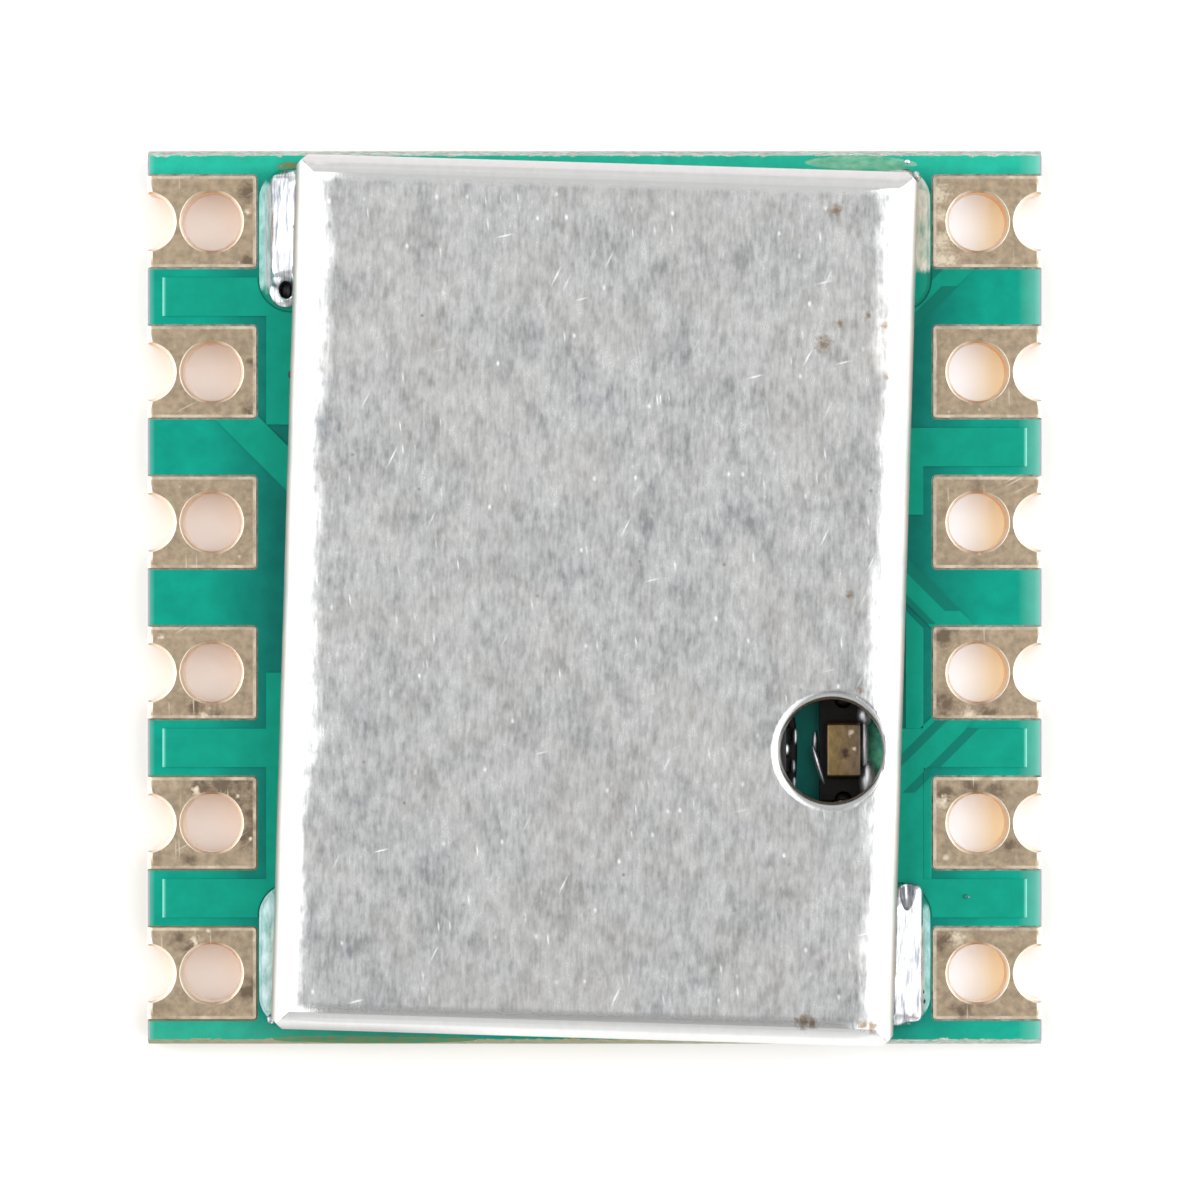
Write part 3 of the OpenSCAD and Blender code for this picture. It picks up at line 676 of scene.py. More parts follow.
        # Painted light in the bores: pale on the walls that face bore_light, warm on the others.
        facing = r.add("VectorMath", {0: normal, 1: self.bore_light}, "Value", operation="DOT_PRODUCT")
        facing = r.add("Math", {0: facing, 1: 0.5}, operation="ADD")
        bore = r.add("Mix", {
            0: facing, 6: linear(self.bore_warm), 7: linear(self.bore_pale),
        }, 2, data_type="RGBA")
        colour = r.add("Mix", {0: wall, 6: colour, 7: bore}, 2, data_type="RGBA")
        rough = r.add("MapRange", {0: dark, 1: 0.0, 2: 1.0, 3: self.rough[0], 4: self.rough[1]})
        bump = r.add("Bump", {"Height": speck, "Distance": self.grit_depth_mm * MM, "Strength": 0.4})
        return r.finish(Base_Color=colour, Metallic=1.0, Roughness=rough, Normal=bump)

    def rim_line(self, r: Recipe) -> Socket:
        """Finds a thin line just inside the edge of every pad.

        Args:
            r: the recipe in hand.

        Returns:
            1 on the line and 0 off it.
        """
        x = r.add("Math", {0: r.add("SeparateXYZ", {0: r.place}, "X")}, operation="ABSOLUTE")
        y = r.add("SeparateXYZ", {0: r.place}, "Y")
        y = r.add("Math", {0: y, 1: self.pitch_mm * MM, 2: 0.0}, operation="WRAP")
        y = r.add("Math", {0: y, 1: self.pitch_mm / 2 * MM}, operation="SUBTRACT")
        y = r.add("Math", {0: y}, operation="ABSOLUTE")
        start, stop = self.line_mm
        across, along = (
            r.add("MapRange", {
                0: run, 1: (edge + inward * start) * MM, 2: (edge + inward * stop) * MM, 3: 0.0, 4: 1.0,
            })
            for run, edge, inward in ((y, self.half_mm, -1), (x, self.inner_mm, 1))
        )
        return r.add("Math", {0: across, 1: along}, operation="MAXIMUM")


@dataclass(frozen=True)
class BrightSolder:
    """Tin solder, cooled from the melt: bright, with grey frost in streaks along the legs."""

    name: str = "solder_reflowed"
    bright: str = "#F6F6F7"
    frost: str = "#868B94"
    rough: tuple[float, float] = (0.2, 0.36)
    streak_mm: Size = (0.06, 0.5, 0.3)

    def make(self) -> bpy.types.Material:
        """Makes the node material."""
        r = Recipe(self.name)
        frost = r.grain(self.streak_mm, CAN_TURN, low=0.34, high=0.66)
        rough = r.add("MapRange", {0: frost, 1: 0.0, 2: 1.0, 3: self.rough[0], 4: self.rough[1]})
        colour = r.add("Mix", {
            0: frost, 6: linear(self.bright), 7: linear(self.frost),
        }, 2, data_type="RGBA")
        return r.finish(Base_Color=colour, Metallic=1.0, Roughness=rough)


@dataclass(frozen=True)
class TinnedCopper:
    """Copper levelled with tin: pale satin metal, a little uneven."""

    pale: str = "#DDE3DF"
    dull: str = "#B9C6C0"
    cloud_mm: Size = (0.2, 0.2, 0.2)
    rough: tuple[float, float] = (0.22, 0.4)

    def make(self) -> bpy.types.Material:
        """Makes the node material."""
        r = Recipe("copper_tinned")
        cloud = r.grain(self.cloud_mm)
        colour = r.add("Mix", {0: cloud, 6: linear(self.pale), 7: linear(self.dull)}, 2, data_type="RGBA")
        rough = r.add("MapRange", {0: cloud, 1: 0.0, 2: 1.0, 3: self.rough[0], 4: self.rough[1]})
        return r.finish(Base_Color=colour, Metallic=1.0, Roughness=rough)


@dataclass(frozen=True)
class Moulded:
    """Filled resin or ceramic, moulded or fired: one body colour with a fine matte grain."""

    name: str
    dark: str
    light: str
    rough: float
    grain_mm: float = 0.03
    shine: float = 0.5
    relief: float = 0.1

    def make(self) -> bpy.types.Material:
        """Makes the node material."""
        r = Recipe(self.name)
        grit = r.grain((self.grain_mm,) * 3, detail=3.0)
        colour = r.add("Mix", {0: grit, 6: linear(self.dark), 7: linear(self.light)}, 2, data_type="RGBA")
        depth = self.relief * self.grain_mm * MM
        normal = r.add("Bump", {"Height": grit, "Distance": depth, "Strength": 0.5})
        return r.finish(
            Base_Color=colour, Roughness=self.rough, Normal=normal, Specular_IOR_Level=self.shine,
        )


@dataclass(frozen=True)
class CastLens:
    """Epoxy, cast over the lamp's die: tan and glossy, with the die as a brown spot, painted glints on its
    right half and painted shade on its two end slopes.
    """

    left: str = "#7C6434"
    right: str = "#6A5844"
    die: str = "#3A2010"
    # north and south are painted shade on the end slopes, and glint is a painted highlight.
    north: str = "#4A3426"
    south: str = "#26220F"
    glint: str = "#CDBBA0"
    die_at: tuple[Spot, ...] = ((0.01, -0.05, 0.10), (0.01, -0.09, 0.10))
    glints: tuple[Spot, ...] = ((0.12, 0.29, 0.06), (0.17, 0.02, 0.05))
    end_mm: float = 0.08
    cloud_mm: Size = (0.1, 0.2, 0.2)
    cloud_shade: tuple[float, float] = (0.65, 1.3)
    rough: float = 0.12

    def make(self) -> bpy.types.Material:
        """Makes the node material."""
        r = Recipe("epoxy_cast_tan")
        low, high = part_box("led_lens")
        middle = (low + high) / 2 / MM
        x, y = (r.add("SeparateXYZ", {0: r.place}, axis) for axis in "XY")
        across = r.add("MapRange", {0: x, 1: low.x, 2: high.x, 3: 0.0, 4: 1.0})
        colour = r.add("Mix", {0: across, 6: linear(self.left), 7: linear(self.right)}, 2, data_type="RGBA")
        cloud = r.grain(self.cloud_mm, detail=3.0)
        dark, light = self.cloud_shade
        shade = r.add("MapRange", {0: cloud, 1: 0.0, 2: 1.0, 3: dark, 4: light})
        colour = r.add("Mix", {0: 1.0, 6: colour, 7: shade}, 2, data_type="RGBA", blend_type="MULTIPLY")
        # The die as a brown spot, and painted glints.
        for tone, places in ((self.die, self.die_at), (self.glint, self.glints)):
            spot = r.spots(tuple((middle.x + dx, middle.y + dy, radius) for dx, dy, radius in places))
            colour = r.add("Mix", {0: spot, 6: colour, 7: linear(tone)}, 2, data_type="RGBA")
        # Painted shade on the two end slopes.
        for tone, tip, inner in ((self.north, high.y, -1), (self.south, low.y, 1)):
            inside = tip + inner * self.end_mm * MM
            end = r.add("MapRange", {0: y, 1: inside, 2: (inside + tip) / 2, 3: 0.0, 4: 1.0})
            colour = r.add("Mix", {0: end, 6: colour, 7: linear(tone)}, 2, data_type="RGBA")
        return r.finish(Base_Color=colour, Roughness=self.rough)


@dataclass(frozen=True)
class FluxResidue:
    """Rosin flux, dried after soldering: thin and glassy, with the green under it showing in patches."""

    name: str
    thin: str
    thick: str
    cloud_mm: Size = (0.22, 0.12, 0.2)
    rough: float = 0.18

    def make(self) -> bpy.types.Material:
        """Makes the node material."""
        r = Recipe(self.name)
        cloud = r.grain(self.cloud_mm, detail=5.0)
        colour = r.add("Mix", {0: cloud, 6: linear(self.thin), 7: linear(self.thick)}, 2, data_type="RGBA")
        return r.finish(Base_Color=colour, Roughness=self.rough)


@dataclass(frozen=True)
class GlassFibre:
    """Glass fibre, torn at the snapped ends: white-grey splinters."""

    dull: str = "#A9B5AF"
    white: str = "#F0F3F1"
    cloud_mm: Size = (0.2, 0.2, 0.05)
    rough: float = 0.5

    def make(self) -> bpy.types.Material:
        """Makes the node material."""
        r = Recipe("glass_fibre_torn")
        cloud = r.grain(self.cloud_mm, detail=3.0)
        colour = r.add("Mix", {0: cloud, 6: linear(self.dull), 7: linear(self.white)}, 2, data_type="RGBA")
        return r.finish(Base_Color=colour, Roughness=self.rough)


@dataclass(frozen=True)
class StudioPaper:
    """Backlit seamless paper: a plain pale floor that still shows bright through the bores. Under the right
    row of bores it is painted tan and glows from cool to warm, as painted light in those bores."""

    plain: str = "#F4F4F4"
    tan: str = "#F4EFD2"
    dim: str = "#3F352D"
    cool: str = "#818E9A"
    warm: str = "#614631"
    row_mm: tuple[float, float] = (5.8, 7.05)
    turn_mm: tuple[float, float] = (6.2, 6.8)
    end_mm: float = 7.2
    rough: float = 0.9

    def make(self) -> bpy.types.Material:
        """Makes the node material."""
        r = Recipe("floor_paper")
        x, y = (r.add("SeparateXYZ", {0: r.place}, axis) for axis in "XY")
        near, far = (edge * MM for edge in self.row_mm)
        row = r.add("Math", {0: x, 1: (near + far) / 2, 2: (far - near) / 2}, operation="COMPARE")
        under = r.add("Math", {0: r.add("Math", {0: y}, operation="ABSOLUTE"), 1: self.end_mm * MM},
                      operation="LESS_THAN")
        row = r.add("Math", {0: row, 1: under}, operation="MULTIPLY")
        # Painted light under the right row of bores: tan, and a glow that turns from cool to warm.
        start, stop = (edge * MM for edge in self.turn_mm)
        share = r.add("MapRange", {0: x, 1: start, 2: stop, 3: 0.0, 4: 1.0})
        tan = r.add("Math", {0: row, 1: share}, operation="MULTIPLY")
        colour = r.add("Mix", {0: tan, 6: linear(self.plain), 7: linear(self.tan)}, 2, data_type="RGBA")
        light = r.add("Mix", {0: share, 6: linear(self.cool), 7: linear(self.warm)}, 2, data_type="RGBA")
        light = r.add("Mix", {0: row, 6: linear(self.dim), 7: light}, 2, data_type="RGBA")
        return r.finish(Base_Color=colour, Roughness=self.rough, Emission_Color=light, Emission_Strength=1.0)


def make_active(piece: bpy.types.Object) -> None:
    """Selects one object alone.

    Args:
        piece: the object.
    """
    bpy.ops.object.select_all(action="DESELECT")
    piece.select_set(True)
    bpy.context.view_layer.objects.active = piece


def pick(piece: bpy.types.Object, element: Element, test: Callable[[Vector, Vector], bool]) -> None:
    """Enters edit mode with some of a piece's elements selected.

    Args:
        piece: the piece.
        element: the kind of element.
        test: tells from an element's middle, and its normal or run, whether it is wanted.
    """
    if bpy.context.mode != "OBJECT":
        object_mode()
    make_active(piece)
    bpy.ops.object.mode_set(mode="EDIT")
    bpy.ops.mesh.select_mode(type=element.value)
    bpy.ops.mesh.select_all(action="DESELECT")
    bpy.ops.object.mode_set(mode="OBJECT")
    mesh = piece.data
    if element is Element.FACE:
        for face in mesh.polygons:
            face.select = test(face.center, face.normal)
    elif element is Element.EDGE:
        for edge in mesh.edges:
            start, stop = (mesh.vertices[i].co for i in edge.vertices)
            edge.select = test((start + stop) / 2, (stop - start).normalized())
    else:
        for vert in mesh.vertices:
            vert.select = test(vert.co, vert.normal)
    bpy.ops.object.mode_set(mode="EDIT")


def object_mode() -> None:
    """Leaves edit mode."""
    bpy.ops.object.mode_set(mode="OBJECT")


def everything(middle: Vector, run: Vector) -> bool:
    """Picks all elements."""
    return True


def copy_of(node: str, name: str) -> bpy.types.Object:
    """Copies a solid's mesh, in millimetres, and merges its loose triangles into faces.

    Args:
        node: name of the solid.
        name: name of the new piece.

    Returns:
        The new piece, still without a finish.
    """
    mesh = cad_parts[node].data.copy()
    mesh.materials.clear()
    mesh.transform(Matrix.Scale(1 / MM, 4))
    piece = bpy.data.objects.new(name, mesh)
    bpy.context.scene.collection.objects.link(piece)
    make_active(piece)
    bpy.ops.mesh.customdata_custom_splitnormals_clear()
    pick(piece, Element.VERT, everything)
    bpy.ops.mesh.remove_doubles(threshold=MERGE)
    bpy.ops.mesh.dissolve_limited(angle_limit=FLAT)
    object_mode()
    return piece


def apply_modifier(piece: bpy.types.Object, kind: str, **settings: object) -> None:
    """Adds a modifier to a piece and applies it.

    Args:
        piece: the piece.
        kind: type of the modifier.
        settings: the modifier's own options.
    """
    make_active(piece)
    modifier = piece.modifiers.new(kind.lower(), kind)
    for name, value in settings.items():
        setattr(modifier, name, value)
    bpy.ops.object.modifier_apply(modifier=modifier.name)


def smooth(piece: bpy.types.Object, degrees: float = 35.0) -> None:
    """Shades a piece smooth, with creases at angles over a limit."""
    make_active(piece)
    bpy.ops.object.shade_smooth_by_angle(angle=math.radians(degrees))


def join(name: str, pieces: list[bpy.types.Object]) -> bpy.types.Object:
    """Joins pieces into the first one.

    Args:
        name: new name of the piece.
        pieces: the pieces.

    Returns:
        The joined piece.
    """
    make_active(pieces[0])
    for piece in pieces:
        piece.select_set(True)
    bpy.ops.object.join()
    pieces[0].name = name
    return pieces[0]


def dress(piece: bpy.types.Object, finish: bpy.types.Material, slot: str, *nodes: str) -> None:
    """Brings a piece to metres, gives it a finish and a body, and hides the solids that it stands for.

    Args:
        piece: the piece, in millimetres.
        finish: the material of its faces that have none yet.
        slot: the record's material slot; not used.
        nodes: the solids that it replaces.
    """
    piece.data.transform(Matrix.Scale(MM, 4))
    if not piece.data.materials:
        piece.data.materials.append(finish)
    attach(piece, BODY)
    if nodes:
        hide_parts(*nodes)
    log.info("%s: %d faces", piece.name, len(piece.data.polygons))


def round_edges(piece: bpy.types.Object, width: float) -> None:
    """Rounds the edges of a piece, and shades it smooth with its flat faces kept flat.

    Args:
        piece: the piece.
        width: width of the rounding, in millimetres.
    """
    apply_modifier(piece, "BEVEL", width=width, segments=2, limit_method="ANGLE", angle_limit=CREASE)
    smooth(piece)
    apply_modifier(piece, "WEIGHTED_NORMAL", keep_sharp=True)


def rounded(node: str, finish: bpy.types.Material, slot: str, width: float) -> None:
    """Replaces a solid by a copy with rounded edges.

    Args:
        node: name of the solid.
        finish: the copy's material.
        slot: the record's material slot.
        width: width of the rounding, in millimetres.
    """
    piece = copy_of(node, node + "_finished")
    round_edges(piece, width)
    dress(piece, finish, slot, node)


@dataclass(frozen=True)
class Lump:
    """A drop, hollow, film or strip: its middle and half sizes in millimetres, and its turn about Z."""

    middle: tuple[float, float, float]
    half: tuple[float, float, float]
    turn: float = 0.0


def drop(lump: Lump, name: str = "drop") -> bpy.types.Object:
    """Models a drop as a stretched ball.

    Args:
        lump: place and size of the drop.
        name: name of the piece.

    Returns:
        The drop.
    """
    bpy.ops.mesh.primitive_uv_sphere_add(segments=32, ring_count=20, radius=1)
    ball = bpy.context.object
    ball.name = name
    pick(ball, Element.VERT, everything)
    bpy.ops.transform.resize(value=lump.half, center_override=(0, 0, 0))
    object_mode()
    ball.data.transform(Matrix.Translation(lump.middle) @ Matrix.Rotation(lump.turn, 4, "Z"))
    smooth(ball)
    return ball


def block(lump: Lump) -> bpy.types.Object:
    """Models a straight-sided drop or strip, as a block with rounded edges.

    Args:
        lump: place and size of the block.

    Returns:
        The block.
    """
    bpy.ops.mesh.primitive_cube_add(size=2)
    bar = bpy.context.object
    pick(bar, Element.EDGE, everything)
    bpy.ops.transform.resize(value=lump.half, center_override=(0, 0, 0))
    bpy.ops.mesh.bevel(offset=BLOCK_ROUND * min(lump.half), segments=4, affect="EDGES")
    object_mode()
    bar.data.transform(Matrix.Translation(lump.middle) @ Matrix.Rotation(lump.turn, 4, "Z"))
    return bar


@dataclass
class Board:
    """The printed board, its copper under the mask, and its plated pads and slots. Sizes in millimetres."""

    side_round: float = 0.03
    edge_round: float = 0.01
    pad_round: float = 0.035
    slope: float = 0.1
    stretch: float = 4.0
    end_reach: float = 0.01
    shoulder: tuple[float, float] = (0.1, 0.025)
    land: float = 0.17
    overlap: float = 0.035
    can_half: float = 5.235
    pads: int = 12
    strips: tuple[Lump, ...] = (
        Lump((5.40, -1.217, 0.8075), (0.15, 0.997, 0.0125)),
        Lump((5.62, -3.81, 0.8075), (0.068, 0.944, 0.0125)),
    )
    splinters: int = 110
    splinter: tuple[float, float] = (0.25, 0.03)
    splinter_slant: float = 0.25
    splinter_stretch: tuple[float, float] = (0.3, 1.1)
    splinter_margin: float = 0.2
    splinter_rise: float = 0.16
    splinter_inset: float = 0.05

    def build(self) -> None:
        """Rounds the edges of the board, the copper and the pads, and dresses them."""
        self.board()
        mask = MaskOverCopper().make()
        dress(self.copper(), mask, "masked_copper", "top_copper")
        for number, lump in enumerate(self.strips, 1):
            dress(self.strip(number, lump), mask, "masked_copper")
        gold = TarnishedGold().make()
        for i in range(1, self.pads + 1):
            rounded(f"pad_{i:02d}", gold, "gold_plating", self.pad_round)
        # The first colour of each land is its painted highlight along the slope.
        covered = SlotLand("land_tinned_grey", "#A6CBC8", "#C9D3D2", "#8FA3A1", span_mm=(5.20, 7.0)).make()
        blue = SlotLand("land_tinned_blue", "#BFD8DB", "#D3E3E5", "#9FBDC2", span_mm=(4.95, 7.15)).make()
        beige = SlotLand("land_tinned_beige", "#B9C2B6", "#D8CCC3", "#A3A096", span_mm=(5.52, 7.3)).make()
        for i, finish in enumerate((covered, blue, beige, covered), 1):
            rounded(f"plated_slot_{i}", finish, "tinned_copper", self.edge_round)
            dress(self.slot_shoulder(i), finish, "tinned_copper")
        glass = GlassFibre().make()
        for end in End:
            dress(self.torn_end(end), glass, "masked_laminate")

    def board(self) -> None:
        """Rounds the two routed sides wide, and all other edges narrow."""
        board = copy_of("printed_board", "printed_board_masked")
        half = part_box("printed_board")[1].x / MM
        pick(board, Element.EDGE, lambda middle, run: abs(abs(middle.x) - half) < NEAR
             and abs(run.y) > ALIGNED)
        bpy.ops.mesh.bevel(offset=self.side_round, segments=3, affect="EDGES")
        object_mode()
        round_edges(board, self.edge_round)
        dress(board, MaskOnLaminate().make(), "masked_laminate", "printed_board")

    def copper(self) -> bpy.types.Object:
        """Lets the mask run off the outer ends of the copper in a long low slope.

        Returns:
            The copper under its mask.
        """
        copper = copy_of("top_copper", "top_copper_masked")
        low, high = (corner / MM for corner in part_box("top_copper"))
        middle = (low + high) / 2
        pick(copper, Element.VERT, everything)
        bpy.ops.transform.resize(value=(1, 1, self.stretch), center_override=middle)
        pick(copper, Element.EDGE, lambda at, run: abs(at.x) > high.x - self.end_reach
             and abs(run.y) > ALIGNED and at.z > middle.z)
        bpy.ops.mesh.bevel(offset=self.slope, segments=3, affect="EDGES")
        pick(copper, Element.VERT, everything)
        bpy.ops.transform.resize(value=(1, 1, 1 / self.stretch), center_override=middle)
        object_mode()
        smooth(copper, degrees=20)
        apply_modifier(copper, "WEIGHTED_NORMAL", keep_sharp=True)
        return copper

    def strip(self, number: int, lump: Lump) -> bpy.types.Object:
        """Models a narrow track under the mask, beside a pad, with its upper end cut at 45 degrees.

        Args:
            number: number of the track.
            lump: its place and size.

        Returns:
            The track.
        """
        strip = block(lump)
        strip.name = f"copper_strip_{number}"
        corner = Vector(lump.middle) + Vector((-lump.half[0], lump.half[1], 0))
        outward = Vector((1, 1, 0)).normalized()
        pick(strip, Element.FACE, everything)
        bpy.ops.mesh.bisect(plane_co=corner, plane_no=outward, clear_outer=True, use_fill=True)
        object_mode()
        smooth(strip)
        return strip

    def slot_shoulder(self, number: int) -> bpy.types.Object:
        """Models the mask that runs up over the edge of a slot's land, outside the can.

        Args:
            number: number of the slot.

        Returns:
            The shoulder.
        """
        low, high = (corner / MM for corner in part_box(f"plated_slot_{number}"))
        middle, size = (low + high) / 2, high - low
        width, height = self.shoulder
        radius = size.x / 2 + self.overlap
        bpy.ops.mesh.primitive_circle_add(vertices=48, radius=radius)
        ring = bpy.context.object
        ring.name = f"slot_shoulder_{number}"
        pick(ring, Element.EDGE, everything)
        for inset, rise in ((width, height), (self.land + self.overlap - width, 0.0), (0.0, -2 * height)):
            bpy.ops.mesh.extrude_edges_move()
            shrink = (radius - inset) / radius
            radius -= inset
            bpy.ops.transform.resize(value=(shrink, shrink, 1), center_override=(0, 0, 0))
            bpy.ops.transform.translate(value=(0, 0, rise))
        bpy.ops.mesh.select_all(action="DESELECT")
        bpy.ops.mesh.select_non_manifold()
        bpy.ops.mesh.bridge_edge_loops()
        for half in (-1, 1):
            pick(ring, Element.VERT, lambda at, run: half * at.y > NEAR)
            bpy.ops.transform.translate(value=(0, half * (size.y - size.x) / 2, 0))
        pick(ring, Element.VERT, everything)
        bpy.ops.mesh.normals_make_consistent(inside=False)
        bpy.ops.transform.translate(value=(middle.x, middle.y, high.z))
        outward = Matrix.Rotation(CAN_TURN, 3, "Z") @ Vector((math.copysign(1, middle.x), 0, 0))
        wall = outward * self.can_half
        bpy.ops.mesh.bisect(plane_co=wall, plane_no=outward, clear_inner=True, use_fill=True)
        object_mode()
        smooth(ring, degrees=10)
        return ring

    def torn_end(self, end: End) -> bpy.types.Object:
        """Scatters glass splinters over the upper slope of a snapped end.

        Args:
            end: the end of the board.

        Returns:
            The splinters, as one piece.
        """
        chance = random.Random(7 * end.value)
        low, high = (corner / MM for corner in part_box("printed_board"))
        length, width = self.splinter
        bpy.ops.mesh.primitive_cone_add(vertices=5, radius1=width / 2, radius2=width / 8, depth=length)
        model = bpy.context.object
        pick(model, Element.FACE, lambda middle, run: run.z > ALIGNED)
        bpy.ops.mesh.subdivide(number_cuts=1)
        object_mode()
        pieces = []
        for _ in range(self.splinters):
            piece = bpy.data.objects.new("splinter", model.data.copy())
            bpy.context.scene.collection.objects.link(piece)
            depth = chance.random()
            slant = chance.uniform(-self.splinter_slant, self.splinter_slant)
            long = chance.uniform(*self.splinter_stretch)
            inset = width + self.splinter_inset * depth + long * length / 2 * abs(math.sin(slant))
            margin = self.splinter_margin
            place = Vector((
                chance.uniform(low.x + margin, high.x - margin),
                end.value * (high.y - inset),
                high.z - margin + self.splinter_rise * depth,
            ))
            turn = Matrix.Rotation(slant, 4, "Z") @ Matrix.Rotation(math.pi / 2, 4, "Y")
            piece.data.transform(Matrix.Translation(place) @ turn @ Matrix.Diagonal((1, 1, long, 1)))
            pieces.append(piece)
        bpy.data.objects.remove(model)
        torn = join(f"splinters_{end.name.lower()}", pieces)
        smooth(torn)
        return torn


@dataclass
class Can:
    """The folded tinplate can and the solder that holds its four legs. Sizes in millimetres."""

    edge_round: float = 0.008
    corner: tuple[float, float] = (5.225, 7.35)
    shift: float = 0.05
    seam: float = 0.02
    seam_play: float = 1.2
    cut_back: float = 1.0
    grid: float = 0.02
    smoothing: tuple[int, int] = (10, 3)
    lumps: dict[int, tuple[Lump, ...]] = field(default_factory=lambda: {
        1: (
            Lump((-5.22, 5.17, 0.80), (0.29, 0.29, 0.12)), Lump((-5.16, 7.04, 0.85), (0.20, 0.16, 0.30)),
            Lump((-5.26, 5.42, 0.82), (0.23, 0.26, 0.22)),
            Lump((-5.28, 6.25, 0.84), (0.22, 0.92, 0.30)),
        ),
        4: (Lump((5.30, -6.02, 0.84), (0.24, 1.22, 0.30)),),
    })
    blocks: dict[int, Lump] = field(default_factory=lambda: {
        1: Lump((-5.27, 6.27, 0.84), (0.20, 0.88, 0.24)), 4: Lump((5.31, -6.00, 0.84), (0.235, 1.17, 0.24)),
    })
    hollows: dict[int, Lump] = field(default_factory=lambda: {
        1: Lump((-5.21, 5.19, 0.9), (0.12, 0.15, 0.5)), 4: Lump((5.27, -4.90, 1.22), (0.13, 0.38, 0.28)),
    })
    balls: tuple[Lump, ...] = (
        Lump((-5.46, -7.12, 0.85), (0.085, 0.085, 0.09)), Lump((5.28, 7.36, 0.80), (0.05, 0.04, 0.02)),
        Lump((5.41, 7.08, 1.15), (0.08, 0.10, 0.36)), Lump((6.32, -5.06, 0.82), (0.018, 0.016, 0.015)),
    )

    def build(self) -> None:
        """Builds the can and its solder."""
        can = copy_of("shield_can", "shield_can_folded")
        self.close_seams(can)
        round_edges(can, self.edge_round)
        dress(can, BrushedTinplate().make(), "tinplate", "shield_can")
        solder = BrightSolder().make()
        # The first colour of each is its painted highlight along the slope.
        blue = SlotLand("solder_frosted_blue", "#C9DDE0", "#D9E6E8", "#A6C2C7", span_mm=(4.95, 7.3)).make()
        beige = SlotLand("solder_frosted_beige", "#C9BFB4", "#D8CCC3", "#A09D92", span_mm=(5.52, 7.3)).make()
        for i, finish in enumerate((solder, blue, beige, solder), 1):
            dress(self.joint(i), finish, "solder", f"solder_joint_{i}")
        for number, ball in enumerate(self.balls, 1):
            dress(drop(ball, f"solder_ball_{number}"), solder, "solder")

    def close_seams(self, can: bpy.types.Object) -> None:
        """Presses the two sides of each corner seam together, with the folds cut off before the corners.

        Args:
            can: the can.
        """
        back = Matrix.Rotation(-CAN_TURN, 3, "Z")
        middle = Vector((0, -self.shift, 0))
        for along, half in zip((Vector((1, 0, 0)), Vector((0, 1, 0))), self.corner):
            for side in (-1, 1):
                outward = side * along @ back
                pick(can, Element.FACE, everything)
                bpy.ops.mesh.bisect(plane_co=middle + outward * (half - self.cut_back), plane_no=outward)

        def in_seam(at: Vector, run: Vector) -> bool:
            """Tells whether a point lies in a corner seam."""
            flat = back @ (at - middle)
            gap = (abs(flat.x) - self.corner[0]) - (abs(flat.y) - self.corner[1])
            near = abs(gap) < self.seam_play * self.seam / math.sqrt(2)
            return near and abs(flat.x) > self.corner[0] - self.cut_back

        pick(can, Element.VERT, in_seam)
        bpy.ops.mesh.remove_doubles(threshold=self.seam_play * self.seam)
        object_mode()

    def joint(self, number: int) -> bpy.types.Object:
        """Melts a joint and the drops on it into one smooth skin.

        Args:
            number: number of the joint.

        Returns:
            The joint.
        """
        parts = [copy_of(f"solder_joint_{number}", "joint")]
        parts += [drop(lump) for lump in self.lumps.get(number, ())]
        if number in self.blocks:
            parts.append(block(self.blocks[number]))
        joint = join(f"solder_joint_{number}_flowed", parts)
        apply_modifier(joint, "REMESH", mode="VOXEL", voxel_size=self.grid)
        apply_modifier(joint, "SMOOTH", factor=0.5, iterations=self.smoothing[0])
        if number in self.hollows:
            cutter = drop(self.hollows[number])
            apply_modifier(joint, "BOOLEAN", object=cutter, operation="DIFFERENCE")
            bpy.data.objects.remove(cutter)
            apply_modifier(joint, "REMESH", mode="VOXEL", voxel_size=self.grid)
            apply_modifier(joint, "SMOOTH", factor=0.5, iterations=self.smoothing[1])
        smooth(joint, degrees=80)
        return joint


